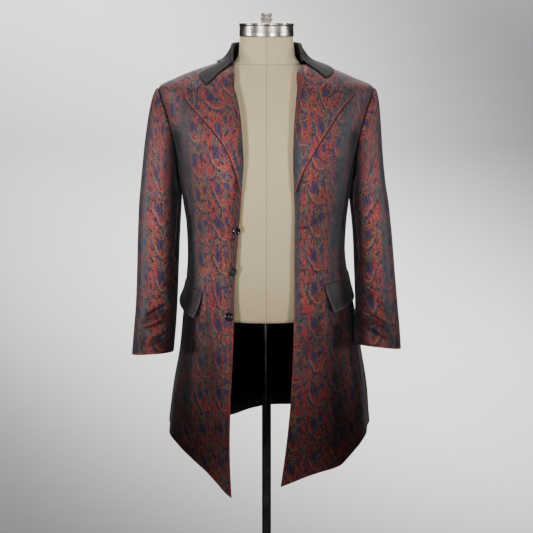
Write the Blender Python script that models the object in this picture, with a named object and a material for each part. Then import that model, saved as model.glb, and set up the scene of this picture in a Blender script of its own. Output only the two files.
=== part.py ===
"""A frock coat worn open on a limbless dress form with a pole and a round base.

Metres, +Z up, the coat's front faces -Y, and the origin is on the floor on the pole's axis.
The wearer's right side is -X. Each cloth piece is a wall of its own, cut as a maker cuts it,
and parted from its neighbours at the seams.
"""
import bpy
import numpy as np

RIGHT = -1
LEFT = 1
CLOTH_WALL = 0.002
SEAM_GAP = 0.0006
PILE_GAP = 0.0006


# ---------------------------------------------------------------- tables

def table(columns, rows):
    """Named columns as arrays, from rows with one section or fold a line."""
    return dict(zip(columns.split(), np.array(rows, dtype=float).T))


def smooth(rows, column, at):
    """One column of a table as a smooth curve of its first column, with no overshoot."""
    x = next(iter(rows.values()))
    y = rows[column]
    at = np.clip(np.asarray(at, dtype=float), x[0], x[-1])
    step = np.diff(x)
    rise = np.diff(y) / step
    slope = np.concatenate([rise[:1], np.zeros(len(x) - 2), rise[-1:]])
    before, after = rise[:-1], rise[1:]
    same_way = before * after > 0
    weight_1 = 2 * step[1:] + step[:-1]
    weight_2 = step[1:] + 2 * step[:-1]
    total = weight_1[same_way] + weight_2[same_way]
    parts = weight_1[same_way] / before[same_way] + weight_2[same_way] / after[same_way]
    slope[1:-1][same_way] = total / parts
    k = np.clip(np.searchsorted(x, at, side="right") - 1, 0, len(x) - 2)
    t = (at - x[k]) / step[k]
    start = (2 * t**3 - 3 * t**2 + 1) * y[k] + (t**3 - 2 * t**2 + t) * step[k] * slope[k]
    end = (3 * t**2 - 2 * t**3) * y[k + 1] + (t**3 - t**2) * step[k] * slope[k + 1]
    return start + end


# Level sections of the coat's body, from the hem to the neck seam.
BODY = table("height right_half left_half front back squareness", [
    (0.540, 0.2500, 0.2620, 0.2070, 0.1700, 2.00),
    (0.660, 0.2365, 0.2485, 0.1940, 0.1630, 2.00),
    (0.760, 0.2220, 0.2345, 0.1820, 0.1560, 2.05),
    (0.850, 0.2045, 0.2180, 0.1700, 0.1480, 2.10),
    (0.940, 0.1935, 0.2050, 0.1590, 0.1390, 2.15),
    (1.020, 0.1845, 0.1890, 0.1510, 0.1290, 2.20),
    (1.100, 0.1785, 0.1770, 0.1480, 0.1210, 2.25),
    (1.150, 0.1800, 0.1785, 0.1500, 0.1230, 2.30),
    (1.200, 0.1865, 0.1840, 0.1550, 0.1300, 2.35),
    (1.250, 0.1940, 0.1920, 0.1580, 0.1370, 2.40),
    (1.300, 0.2030, 0.2010, 0.1570, 0.1410, 2.45),
    (1.350, 0.2130, 0.2110, 0.1500, 0.1400, 2.45),
    (1.400, 0.2250, 0.2230, 0.1360, 0.1320, 2.40),
    (1.430, 0.2330, 0.2310, 0.1230, 0.1230, 2.30),
    (1.449, 0.2370, 0.2350, 0.1130, 0.1150, 2.20),
    (1.472, 0.1960, 0.1900, 0.0985, 0.1040, 2.10),
    (1.485, 0.1640, 0.1600, 0.0890, 0.0970, 2.05),
    (1.495, 0.1340, 0.1330, 0.0800, 0.0900, 2.00),
    (1.504, 0.1060, 0.1060, 0.0700, 0.0820, 2.00),
    (1.512, 0.0840, 0.0840, 0.0600, 0.0750, 2.00),
])

# Soft upright folds of the skirt: they start at top and are deepest at the hem.
SKIRT_FOLDS = table("side angle width top depth", [
    (RIGHT, 66, 9, 0.93, 0.0060),
    (RIGHT, 84, 8, 0.98, -0.0080),
    (RIGHT, 128, 12, 1.02, -0.0070),
    (RIGHT, 156, 11, 1.02, 0.0060),
    (LEFT, 62, 9, 0.95, 0.0050),
    (LEFT, 80, 8, 0.92, -0.0080),
    (LEFT, 118, 11, 1.02, 0.0050),
    (LEFT, 146, 12, 1.02, -0.0070),
])
HEM_LEVEL = 0.60

# The front edges roll back toward the wearer.
EDGE_ROLL = table("height depth", [
    (0.560, 0.0000), (0.800, 0.0030), (0.965, 0.0090), (1.065, 0.0150),
    (1.155, 0.0200), (1.240, 0.0210), (1.320, 0.0170), (1.430, 0.0090), (1.512, 0.0000),
])
EDGE_ROLL_WIDTH = 0.028

# Rows of the panels rise by steps: level through the skirt and chest, then fanned to the shoulder.
FRONT_EDGE = {
    RIGHT: table("step angle height", [
        (0.00, 18.2, 0.558), (0.05, 19.5, 0.620), (0.10, 20.3, 0.680), (0.16, 20.8, 0.755),
        (0.27, 21.2, 0.850), (0.37, 21.2, 0.940), (0.46, 21.6, 1.020), (0.55, 20.4, 1.100),
        (0.63, 17.7, 1.175), (0.70, 15.4, 1.238), (0.76, 13.1, 1.320), (0.82, 13.4, 1.385),
        (0.88, 15.5, 1.445), (0.93, 24.0, 1.482), (0.97, 50.0, 1.504), (1.00, 88.0, 1.512),
    ]),
    LEFT: table("step angle height", [
        (0.00, 6.9, 0.588), (0.05, 9.1, 0.650), (0.10, 10.9, 0.705), (0.16, 13.0, 0.775),
        (0.27, 15.2, 0.860), (0.37, 16.6, 0.940), (0.46, 18.2, 1.020), (0.55, 19.2, 1.100),
        (0.63, 18.8, 1.175), (0.70, 17.2, 1.238), (0.76, 15.2, 1.320), (0.82, 14.8, 1.385),
        (0.88, 15.2, 1.445), (0.92, 24.0, 1.484), (0.95, 41.0, 1.4985), (0.97, 54.0, 1.505),
        (1.00, 88.0, 1.512),
    ]),
}
ARMPIT_STEP = 0.70
SIDE_SEAM = table("step angle height", [
    (0.00, 100, 0.662), (0.16, 100, 0.755), (0.27, 100, 0.850), (0.37, 100, 0.940),
    (0.46, 100, 1.020), (0.55, 99, 1.100), (0.63, 96, 1.180), (0.70, 90, 1.250),
])
# The armhole, by turn round it from the shoulder tip to the armpit.
ARMHOLE = table("turn front_angle back_angle height", [
    (0, 90, 90, 1.449), (25, 82, 98, 1.442), (50, 75, 105, 1.421), (75, 71, 109, 1.390),
    (100, 69, 111, 1.350), (125, 70, 110, 1.303), (150, 77, 103, 1.268), (180, 90, 90, 1.250),
])
FRONT_HEM = {
    RIGHT: table("angle height", [
        (18.2, 0.558), (21.5, 0.567), (27.5, 0.589), (35, 0.611), (43, 0.626), (53, 0.641),
        (66, 0.657), (78, 0.661), (100, 0.662),
    ]),
    LEFT: table("angle height", [
        (6.9, 0.588), (12, 0.5955), (21, 0.607), (28, 0.612), (40.5, 0.616), (48, 0.630),
        (56, 0.646), (65, 0.660), (78, 0.664), (100, 0.662),
    ]),
}
BACK_HEM = {
    RIGHT: table("angle height", [
        (100, 0.662), (115, 0.647), (135, 0.624), (157, 0.614), (170, 0.630), (180, 0.640),
    ]),
    LEFT: table("angle height", [
        (100, 0.662), (130, 0.653), (157, 0.646), (180, 0.640),
    ]),
}
CENTRE_BACK_NECK = 1.497
NECK_SHARE = 0.22
SHOULDER_TIP = 1.449
NECK_POINT = 1.512

LAPEL_EDGE = {
    RIGHT: table("share angle height", [
        (0.00, 17.6, 1.236), (0.20, 20.0, 1.289), (0.40, 23.5, 1.328), (0.60, 29.5, 1.364),
        (0.80, 37.5, 1.398), (1.00, 46.0, 1.432),
    ]),
    LEFT: table("share angle height", [
        (0.00, 19.4, 1.236), (0.20, 23.0, 1.284), (0.40, 28.5, 1.325), (0.60, 34.5, 1.364),
        (0.80, 42.0, 1.408), (1.00, 51.0, 1.439),
    ]),
}
GORGE = {
    RIGHT: table("share angle height", [(0.0, 36.0, 1.4940), (0.45, 32.2, 1.4565), (1.0, 46.0, 1.432)]),
    LEFT: table("share angle height", [(0.0, 41.0, 1.4985), (0.45, 37.8, 1.4690), (1.0, 51.0, 1.439)]),
}
LAPEL_BREAK_STEP = 0.70
LAPEL_TOP_STEP = 0.95
LAPEL_LIFT = 0.0016
LAPEL_ROLL_LIFT = 0.0035
LAPEL_EDGE_CLEARANCE = 0.0010
LAPEL_ROLL_WIDTH = 0.22
# Above the break the front's edge is tucked in, and the lapel folds round it just inside its line.
FRONT_TUCK = table("step angle", [(0.70, 0.0), (0.725, 1.5), (0.95, 1.0), (1.00, 0.0)])
LAPEL_FOLD = table("up inset first_turn", [
    (0.0, 1.2, 60), (0.1, 1.2, 45), (0.2, 1.2, -45), (0.3, 1.2, -90), (0.8, 1.2, -90), (1.0, 0.0, -90),
])

# The collar by turn from the centre back to the gorge; its seat is a place on the coat's body.
COLLAR = table("turn seat_angle seat_height fold_x fold_y fold_height edge_angle edge_height", [
    (0.00, 180, 1.4975, 0.0000, 0.0690, 1.5400, 180.0, 1.4860),
    (0.30, 140, 1.5060, 0.0500, 0.0520, 1.5430, 137.0, 1.4945),
    (0.58, 92, 1.5125, 0.0725, -0.0020, 1.5415, 92.0, 1.5025),
])
# The collar's two ends hang a little differently: shoulder, outer corner, then inner corner.
COLLAR_ENDS = {
    RIGHT: table("turn seat_angle seat_height fold_x fold_y fold_height edge_angle edge_height", [
        (0.78, 66, 1.5110, 0.0745, -0.0280, 1.5300, 60.0, 1.5015),
        (0.90, 51, 1.5062, 0.0745, -0.0450, 1.5155, 52.2, 1.4765),
        (1.00, 38, 1.4985, 0.0730, -0.0585, 1.5045, 33.5, 1.4600),
    ]),
    LEFT: table("turn seat_angle seat_height fold_x fold_y fold_height edge_angle edge_height", [
        (0.78, 66, 1.5110, 0.0750, -0.0280, 1.5300, 77.0, 1.4920),
        (0.90, 56, 1.5075, 0.0765, -0.0395, 1.5175, 66.0, 1.4860),
        (1.00, 46, 1.5025, 0.0770, -0.0495, 1.5090, 40.0, 1.4725),
    ]),
}
COLLAR_FOLD_RADIUS = 0.003
COLLAR_SEAT_LIFT = 0.0030
COLLAR_SETTLE = 4.5

# Sleeves: level rings by height; inner is the side next to the body.
SLEEVE = {
    RIGHT: table("height outer inner centre_y half_depth", [
        (0.862, 0.3045, 0.2100, -0.081, 0.052), (0.920, 0.3000, 0.2050, -0.064, 0.053),
        (0.970, 0.2960, 0.2020, -0.051, 0.055), (1.040, 0.2930, 0.1990, -0.037, 0.057),
        (1.120, 0.2905, 0.1955, -0.023, 0.060), (1.200, 0.2865, 0.1910, -0.010, 0.064),
    ]),
    LEFT: table("height outer inner centre_y half_depth", [
        (0.880, 0.3030, 0.1990, -0.087, 0.052), (0.930, 0.2995, 0.1995, -0.075, 0.052),
        (0.970, 0.2960, 0.2000, -0.062, 0.053), (1.040, 0.2900, 0.1980, -0.043, 0.056),
        (1.120, 0.2835, 0.1950, -0.023, 0.060), (1.200, 0.2745, 0.1870, -0.010, 0.064),
    ]),
}
SLEEVE_SQUARENESS = 2.2
BICEP_LEVEL = 1.200
# The cap's soft S-curve: how far it leaves the armhole and arrives at the bicep, as shares of its length.
CAP_LEAVE = {"top": 0.085, "underarm": 0.185}
CAP_ARRIVE = 0.46
CAP_LEAN = {RIGHT: 0.05, LEFT: 0.09}
CAP_OUT = {"top": 1.00, "underarm": 0.45}
CAP_SWELL = 0.45
CAP_DROP = 0.50
CUFF_SLANT = {RIGHT: 0.003, LEFT: 0.006}
CUFF_TILT = 0.012
FRONT_SEAM_TURN = 150
BACK_SEAM_TURN = 240

FLAP = {
    RIGHT: {
        "top": (47, 97), "bottom": (51, 97), "height": 1.012, "hang": (0.949, 0.973),
        "flare": (0.009, 0.009),
    },
    LEFT: {
        "top": (40.5, 97), "bottom": (44, 97), "height": 1.031, "hang": (0.966, 0.984),
        "flare": (0.009, 0.001),
    },
}

BUTTON_PLACES = [(21.0, 1.153), (23.8, 1.063), (25.0, 0.964)]
BUTTON_RADIUS = 0.0097
BUTTON_THICKNESS = 0.0038

# The form inside the coat, by level sections.
FORM = table("height half front back squareness", [
    (0.938, 0.1560, 0.1080, 0.1080, 2.3),
    (0.945, 0.1640, 0.1160, 0.1120, 2.3),
    (1.000, 0.1640, 0.1180, 0.1110, 2.3),
    (1.100, 0.1520, 0.1120, 0.1030, 2.3),
    (1.200, 0.1590, 0.1220, 0.1100, 2.3),
    (1.290, 0.1720, 0.1260, 0.1220, 2.4),
    (1.360, 0.1840, 0.1160, 0.1220, 2.4),
    (1.410, 0.1900, 0.0980, 0.1120, 2.3),
    (1.440, 0.1850, 0.0840, 0.1000, 2.2),
    (1.460, 0.1680, 0.0760, 0.0900, 2.1),
    (1.476, 0.1380, 0.0700, 0.0820, 2.0),
    (1.489, 0.1020, 0.0640, 0.0720, 2.0),
    (1.501, 0.0740, 0.0590, 0.0630, 2.0),
    (1.520, 0.0620, 0.0560, 0.0570, 2.0),
    (1.558, 0.0580, 0.0560, 0.0560, 2.0),
])
FORM_LEVELS = (0.938, 0.941, 0.948, 0.975, 1.03, 1.09, 1.15, 1.21, 1.27, 1.32, 1.36, 1.395, 1.42,
               1.44, 1.455, 1.467, 1.478, 1.489, 1.501, 1.515, 1.54, 1.558)
FORM_SEGMENTS = 28
# Turned profiles, as radius and height.
NECK_CAP = [(0.0, 1.5583), (0.0590, 1.5583), (0.0595, 1.5640), (0.0585, 1.5800), (0.0600, 1.5835),
            (0.0600, 1.5865), (0.0560, 1.5880), (0.0200, 1.5900), (0.0110, 1.5915), (0.0110, 1.5940),
            (0.0140, 1.5955), (0.0140, 1.5975), (0.0105, 1.5990), (0.0100, 1.6015), (0.0125, 1.6045),
            (0.0120, 1.6075), (0.0070, 1.6100), (0.0, 1.6106)]
POLE_RADIUS = 0.011
BASE_RADIUS = 0.190
BASE_TOP = 0.012
POLE_SOCKET_TOP = 0.055
FORM_UNDERSIDE = 0.938
BASE_PROFILE = [(0.0, 0.0), (BASE_RADIUS - 0.003, 0.0), (BASE_RADIUS, 0.003), (BASE_RADIUS, 0.008),
                (BASE_RADIUS - 0.004, BASE_TOP), (0.030, BASE_TOP + 0.002), (0.020, BASE_TOP + 0.006),
                (0.018, POLE_SOCKET_TOP - 0.002), (0.016, POLE_SOCKET_TOP), (0.0, POLE_SOCKET_TOP)]


# ---------------------------------------------------------------- the coat's body as a surface

def ring_reach(angle, squareness):
    """Reach of a unit rounded square at an angle, in radians."""
    total = np.abs(np.cos(angle))**squareness + np.abs(np.sin(angle))**squareness
    return total**(-1 / squareness)


def fold_swell(side, angle, height):
    """How far the skirt's upright folds stand out or in, at angles in degrees."""
    swell = np.zeros(np.broadcast(angle, height).shape)
    for fold_side, centre, width, top, depth in zip(*SKIRT_FOLDS.values()):
        if fold_side == side:
            growth = np.clip((top - height) / (top - HEM_LEVEL), 0, 1.2)**1.4
            swell += depth * growth * np.exp(-((angle - centre) / width)**2)
    return swell


def coat_body(side, angle, height):
    """Outer face of the coat's body: angle in degrees from the centre front round to the back."""
    angle, height = np.broadcast_arrays(np.asarray(angle, float), np.asarray(height, float))
    half = smooth(BODY, "right_half" if side == RIGHT else "left_half", height)
    turn = np.radians(angle)
    forward = np.cos(turn)
    depth = np.where(forward > 0, smooth(BODY, "front", height), smooth(BODY, "back", height))
    reach = ring_reach(turn, smooth(BODY, "squareness", height))
    swell = fold_swell(side, angle, height)
    x = side * (half * reach + swell) * np.sin(turn)
    y = -(depth * reach + swell) * forward
    return np.stack([x, y, height], axis=-1)


def front_body(side, angle, height):
    """The coat's body with the front edge rolled back toward the wearer."""
    point = coat_body(side, angle, height)
    edge = FRONT_EDGE[side]
    edge_angle = np.interp(height, edge["height"], edge["angle"])
    away = np.radians(angle - edge_angle) * smooth(BODY, "front", height)
    roll = np.clip(1 - away / EDGE_ROLL_WIDTH, 0, 1.4)**2
    point[..., 1] += smooth(EDGE_ROLL, "depth", height) * roll
    return point


def side_line(step, half_name):
    """Angle and height along the side seam, then up the armhole, by step."""
    turn = 180 * (1 - (step - ARMPIT_STEP) / (1 - ARMPIT_STEP))
    on_armhole = step >= ARMPIT_STEP
    angle = np.where(on_armhole, smooth(ARMHOLE, half_name, turn), smooth(SIDE_SEAM, "angle", step))
    height = np.where(on_armhole, smooth(ARMHOLE, "height", turn), smooth(SIDE_SEAM, "height", step))
    return np.stack([angle, height], axis=-1)


def patch(first, last, bottom, top, across, up):
    """Places between four border lines: the two rulings added, less the corners' own."""
    s, t = across[None, :, None], up[:, None, None]
    sides = (1 - s) * first[:, None] + s * last[:, None]
    ends = (1 - t) * bottom[None] + t * top[None]
    low = (1 - s) * bottom[0] + s * bottom[-1]
    high = (1 - s) * top[0] + s * top[-1]
    return sides + ends - (1 - t) * low - t * high


def front_places(side, across, up):
    """Angles and heights over a front: from its open edge to the side, from hem to shoulder."""
    edge = FRONT_EDGE[side]
    tuck = np.interp(up, FRONT_TUCK["step"], FRONT_TUCK["angle"])
    first = np.stack([smooth(edge, "angle", up) + tuck, smooth(edge, "height", up)], axis=-1)
    last = side_line(up, "front_angle")
    hem_angle = first[0, 0] + across * (last[0, 0] - first[0, 0])
    bottom = np.stack([hem_angle, smooth(FRONT_HEM[side], "height", hem_angle)], axis=-1)
    top_height = NECK_POINT + across * (SHOULDER_TIP - NECK_POINT)
    top_angle = first[-1, 0] + (90 - first[-1, 0]) * np.minimum(1, 4 * across)
    top = np.stack([top_angle, top_height], axis=-1)
    return patch(first, last, bottom, top, across, up)


def back_places(side, across, up):
    """Angles and heights over half the back: from the centre to the side, from hem to neck."""
    hem = BACK_HEM[side]
    last = side_line(up, "back_angle")
    rise = (last[:, 1] - last[0, 1]) / (SHOULDER_TIP - last[0, 1])
    centre_height = hem["height"][-1] + rise * (CENTRE_BACK_NECK - hem["height"][-1])
    first = np.stack([np.full(len(up), 180.0), centre_height], axis=-1)
    hem_angle = 180 + across * (last[0, 0] - 180)
    bottom = np.stack([hem_angle, smooth(hem, "height", hem_angle)], axis=-1)
    neck = np.clip(across / NECK_SHARE, 0, 1)
    shoulder = np.clip((across - NECK_SHARE) / (1 - NECK_SHARE), 0, 1)
    neck_height = CENTRE_BACK_NECK + neck * (NECK_POINT - CENTRE_BACK_NECK)
    top_height = neck_height + shoulder * (SHOULDER_TIP - NECK_POINT)
    top = np.stack([180 - 90 * neck, top_height], axis=-1)
    return patch(first, last, bottom, top, across, up)


# ---------------------------------------------------------------- walls from grids of points

def unit(vectors):
    """Vectors made one long."""
    return vectors / (np.linalg.norm(vectors, axis=-1, keepdims=True) + 1e-12)


def surface_normal(surface, side, angle, height):
    """Outward unit normal of a surface of the coat's body, from small steps over it."""
    turn_step = 0.4
    rise_step = 0.0006
    over = surface(side, angle + turn_step, height) - surface(side, angle - turn_step, height)
    top = np.minimum(height + rise_step, NECK_POINT)
    rise = surface(side, angle, top) - surface(side, angle, top - 2 * rise_step)
    return unit(np.cross(over, rise)) * side


def draw_in(points, sides, gap=SEAM_GAP / 2):
    """A grid of points with the named sides moved in, which parts it from its neighbours."""
    moved = points.copy()
    if "first" in sides:
        moved[:, 0] += gap * unit(points[:, 1] - points[:, 0])
    if "last" in sides:
        moved[:, -1] += gap * unit(points[:, -2] - points[:, -1])
    if "bottom" in sides:
        moved[0] += gap * unit(points[1] - points[0])
    if "top" in sides:
        moved[-1] += gap * unit(points[-2] - points[-1])
    return moved


def wall_mesh(outer, inner):
    """Closed wall between two grids of points that share their rows and columns."""
    rows, columns = outer.shape[:2]
    index = np.arange(rows * columns).reshape(rows, columns)
    back = index + rows * columns
    faces = []
    for i in range(rows - 1):
        for j in range(columns - 1):
            faces.append((index[i, j], index[i, j + 1], index[i + 1, j + 1], index[i + 1, j]))
            faces.append((back[i, j], back[i + 1, j], back[i + 1, j + 1], back[i, j + 1]))
    rim = list(index[0, :-1]) + list(index[:-1, -1]) + list(index[-1, :0:-1]) + list(index[:0:-1, 0])
    for a, b in zip(rim, rim[1:] + rim[:1]):
        faces.append((b, a, a + rows * columns, b + rows * columns))
    points = np.concatenate([outer.reshape(-1, 3), inner.reshape(-1, 3)])
    return points, [tuple(int(v) for v in face) for face in faces]


def add_mesh(name, points, faces, material, smooth_angle=40):
    """One object at the origin, with its faces turned outward."""
    mesh = bpy.data.meshes.new(name)
    mesh.from_pydata(points.tolist(), [], faces)
    if signed_volume(points, faces) < 0:
        mesh.flip_normals()
    mesh.shade_smooth()
    mesh.set_sharp_from_angle(angle=np.radians(smooth_angle))
    mesh.materials.append(material)
    piece = bpy.data.objects.new(name, mesh)
    bpy.context.collection.objects.link(piece)
    return piece


def signed_volume(points, faces):
    """Six times the volume inside a closed mesh; it is negative where faces turn inward."""
    total = 0.0
    for face in faces:
        for a, b in zip(face[1:-1], face[2:]):
            total += float(np.dot(points[face[0]], np.cross(points[a], points[b])))
    return total


# ---------------------------------------------------------------- materials

def finish(name, colour, roughness, metallic=0.0):
    """A plain surface in one colour."""
    material = bpy.data.materials.new(name)
    material.use_nodes = True
    shader = material.node_tree.nodes["Principled BSDF"]
    shader.inputs["Base Color"].default_value = (*colour, 1.0)
    shader.inputs["Roughness"].default_value = roughness
    shader.inputs["Metallic"].default_value = metallic
    return material


# ---------------------------------------------------------------- cloth pieces

FRONT_COLUMNS = 12
BACK_COLUMNS = 11
BODY_ROWS_BELOW = 12
BODY_ROWS_ABOVE = 12
SIDE_NAMES = {RIGHT: "right", LEFT: "left"}


def steps(count):
    """Even steps from 0 to 1."""
    return np.linspace(0, 1, count + 1)


def edge_steps(count):
    """Steps from 0 to 1 that are closer together near 0, where an edge rolls."""
    return np.linspace(0, 1, count + 1)**1.35


def body_steps():
    """Rows of a body panel: even below the armpit, and closer together above it."""
    below = np.linspace(0, ARMPIT_STEP, BODY_ROWS_BELOW + 1)
    above = np.linspace(ARMPIT_STEP, 1, BODY_ROWS_ABOVE + 1)
    return np.concatenate([below, above[1:]])


def panel_wall(surface, side, places, open_to):
    """Outer and inner points of a body panel over its places."""
    angle, height = places[..., 0], places[..., 1]
    outer = surface(side, angle, height)
    inner = outer - CLOTH_WALL * surface_normal(surface, side, angle, height)
    return draw_in(outer, open_to), draw_in(inner, open_to)


def add_front(side, cloth):
    """One front, from its open edge to the side seam."""
    places = front_places(side, edge_steps(FRONT_COLUMNS), body_steps())
    outer, inner = panel_wall(front_body, side, places, ("last", "top"))
    points, faces = wall_mesh(outer, inner)
    return add_mesh("front_" + SIDE_NAMES[side], points, faces, cloth)


def add_back(side, cloth):
    """Half the back, from the centre seam to the side seam."""
    places = back_places(side, steps(BACK_COLUMNS), body_steps())
    outer, inner = panel_wall(coat_body, side, places, ("first", "last", "top"))
    points, faces = wall_mesh(outer, inner)
    return add_mesh("back_" + SIDE_NAMES[side], points, faces, cloth)


def sleeve_ring(side, height, turn):
    """Sleeve's outer face below the cap: turn 0 is outward, 90 forward and 180 toward the body."""
    rows = SLEEVE[side]
    outer = smooth(rows, "outer", height)
    inner = smooth(rows, "inner", height)
    angle = np.radians(turn)
    reach = ring_reach(angle, SLEEVE_SQUARENESS)
    x = side * ((outer + inner) / 2 + (outer - inner) / 2 * reach * np.cos(angle))
    y = smooth(rows, "centre_y", height) - smooth(rows, "half_depth", height) * reach * np.sin(angle)
    return np.stack(np.broadcast_arrays(x, y, height), axis=-1)


def armhole_line(side, turn):
    """The armhole seam by turn, parted from the body by a seam's gap."""
    from_tip = np.minimum(turn, 360 - turn)
    front = smooth(ARMHOLE, "front_angle", from_tip)
    back = smooth(ARMHOLE, "back_angle", from_tip)
    height = smooth(ARMHOLE, "height", from_tip)
    point = coat_body(side, np.where(turn <= 180, front, back), height)
    point[..., 0] += side * 2 * SEAM_GAP
    return point


def sleeve_cap(side, share, turn):
    """Sleeve's outer face from the bicep (share 0) up to the armhole (share 1), as a soft S-curve."""
    start = armhole_line(side, turn)
    end = sleeve_ring(side, np.full(turn.shape, BICEP_LEVEL), turn)
    length = np.linalg.norm(start - end, axis=-1, keepdims=True)
    angle = np.radians(turn)
    top = ((1 + np.cos(angle)) / 2)[..., None]
    out = CAP_OUT["underarm"] + (CAP_OUT["top"] - CAP_OUT["underarm"]) * top[..., 0]
    outward = np.stack([side * out, -CAP_SWELL * np.sin(angle), -CAP_DROP * (1 - top[..., 0])], axis=-1)
    below = sleeve_ring(side, np.full(turn.shape, BICEP_LEVEL - 0.02), turn)
    lean = np.array([-side * CAP_LEAN[side], 0.0, 0.0]) * top
    upward = unit(unit(end - below) + lean)
    leave_share = CAP_LEAVE["underarm"] + (CAP_LEAVE["top"] - CAP_LEAVE["underarm"]) * top
    leave = start + unit(outward) * length * leave_share
    arrive = end + upward * length * CAP_ARRIVE
    t = share[..., None]
    return (1 - t)**3 * end + 3 * (1 - t)**2 * t * arrive + 3 * (1 - t) * t**2 * leave + t**3 * start


def sleeve_points(side, rows_below, rows_cap, columns):
    """Grid of a sleeve's outer face from cuff to armhole, and round it by turn."""
    turn = np.linspace(0, 360, columns + 1)
    rows = SLEEVE[side]
    levels = np.linspace(rows["height"][0], BICEP_LEVEL, rows_below + 1)
    lower = sleeve_ring(side, levels[:, None], turn[None])
    near_cuff = ((levels[-1] - levels) / (levels[-1] - levels[0]))[:, None]**4
    angle = np.radians(turn)[None]
    lower[..., 2] += near_cuff * (CUFF_TILT * np.sin(angle) - CUFF_SLANT[side] * np.cos(angle))
    share = (np.arange(1, rows_cap + 1) / rows_cap)**0.8
    upper = sleeve_cap(side, np.repeat(share[:, None], columns + 1, 1), np.repeat(turn[None], rows_cap, 0))
    return np.concatenate([lower, upper])


def tube_normals(points, centre_line):
    """Outward unit normals of a tube whose first and last columns are the same line."""
    ringed = np.concatenate([points[:, -2:-1], points, points[:, 1:2]], axis=1)
    over = ringed[:, 2:] - ringed[:, :-2]
    rise = np.gradient(points, axis=0)
    normal = unit(np.cross(over, rise))
    out = np.sum(normal * (points - centre_line[:, None]), axis=-1).mean()
    return normal * np.sign(out)


SLEEVE_ROWS_BELOW = 12
SLEEVE_ROWS_CAP = 9
SLEEVE_COLUMNS = 24


def add_sleeve(side, cloth):
    """The upper and under pieces of one sleeve."""
    outer = sleeve_points(side, SLEEVE_ROWS_BELOW, SLEEVE_ROWS_CAP, SLEEVE_COLUMNS)
    inner = outer - CLOTH_WALL * tube_normals(outer, outer[:, :-1].mean(axis=1))
    turned = int(SLEEVE_COLUMNS * FRONT_SEAM_TURN / 360)
    returned = int(SLEEVE_COLUMNS * BACK_SEAM_TURN / 360)
    round_top = list(range(returned, SLEEVE_COLUMNS)) + list(range(0, turned + 1))
    round_under = list(range(turned, returned + 1))
    for part_name, columns in (("upper", round_top), ("under", round_under)):
        walls = [draw_in(grid[:, columns], ("first", "last")) for grid in (outer, inner)]
        points, faces = wall_mesh(*walls)
        add_mesh(f"sleeve_{part_name}_{SIDE_NAMES[side]}", points, faces, cloth)


def lapel_places(side, across, up):
    """Angles and heights over a lapel: from the roll line to its edge, from break to gorge."""
    edge = FRONT_EDGE[side]
    step = LAPEL_BREAK_STEP + up * (LAPEL_TOP_STEP - LAPEL_BREAK_STEP)
    inset = np.interp(up, LAPEL_FOLD["up"], LAPEL_FOLD["inset"])
    first = np.stack([smooth(edge, "angle", step) + inset, smooth(edge, "height", step)], axis=-1)
    outer_edge = LAPEL_EDGE[side]
    last = np.stack([smooth(outer_edge, "angle", up), smooth(outer_edge, "height", up)], axis=-1)
    gorge = GORGE[side]
    top = np.stack([np.interp(across, gorge["share"], gorge[name]) for name in ("angle", "height")], -1)
    top += (1 - across[:, None]) * (first[-1] - top[0])
    bottom = first[0] + across[:, None] * (last[0] - first[0])
    return patch(first, last, bottom, top, across, up)


def lapel_wall(side, across, up, wrap_shares):
    """Outer and inner points of a lapel, which starts wrapped round the front's own edge."""
    places = lapel_places(side, across, up)
    base = front_body(side, places[..., 0], places[..., 1])
    normal = surface_normal(front_body, side, places[..., 0], places[..., 1])
    rolled = np.clip(across / LAPEL_ROLL_WIDTH, 0, 1)[None, :, None]
    growth = np.clip(5 * np.minimum(up, 1 - up), 0, 1)[:, None, None]
    lift = PILE_GAP + (LAPEL_LIFT - PILE_GAP) * rolled
    lift = lift + LAPEL_ROLL_LIFT * growth * np.sin(np.pi * rolled)**2
    outer = base + normal * (lift + CLOTH_WALL)
    inner = base + normal * lift
    edge_run = unit(np.gradient(base[:, 0], axis=0))
    beyond = base[:, 0] - base[:, 1]
    beyond = unit(beyond - np.sum(beyond * edge_run, axis=-1, keepdims=True) * edge_run)
    centre = base[:, 0] - normal[:, 0] * CLOTH_WALL / 2
    first_turn = np.interp(up, LAPEL_FOLD["up"], LAPEL_FOLD["first_turn"])[:, None]
    turn = first_turn + np.asarray(wrap_shares)[None] * (LAPEL_LAST_TURN - first_turn)
    turn = np.radians(turn)[..., None]
    spoke = np.cos(turn) * beyond[:, None] + np.sin(turn) * normal[:, 0][:, None]
    inner_radius = CLOTH_WALL / 2 + LAPEL_EDGE_CLEARANCE
    wrap_inner = centre[:, None] + inner_radius * spoke
    wrap_outer = centre[:, None] + (inner_radius + CLOTH_WALL) * spoke
    return np.concatenate([wrap_outer, outer], axis=1), np.concatenate([wrap_inner, inner], axis=1)


LAPEL_COLUMNS = 10
LAPEL_ROWS = 10
LAPEL_WRAP = (0, 0.33, 0.67, 1)
LAPEL_LAST_TURN = 75


def add_lapel(side, cloth):
    """One lapel, turned back over the front from its roll line."""
    outer, inner = lapel_wall(side, edge_steps(LAPEL_COLUMNS), steps(LAPEL_ROWS), LAPEL_WRAP)
    points, faces = wall_mesh(outer, inner)
    return add_mesh("lapel_" + SIDE_NAMES[side], points, faces, cloth)


def collar_line(turn, name, straight=False):
    """One column of the collar's table by turn, with each end's own last rows."""
    away = np.abs(turn)
    lines = {}
    for side in (RIGHT, LEFT):
        rows = {column: np.concatenate([COLLAR[column], COLLAR_ENDS[side][column]]) for column in ("turn", name)}
        lines[side] = np.interp(away, rows["turn"], rows[name]) if straight else smooth(rows, name, away)
    return np.where(turn < 0, lines[RIGHT], lines[LEFT])


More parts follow.
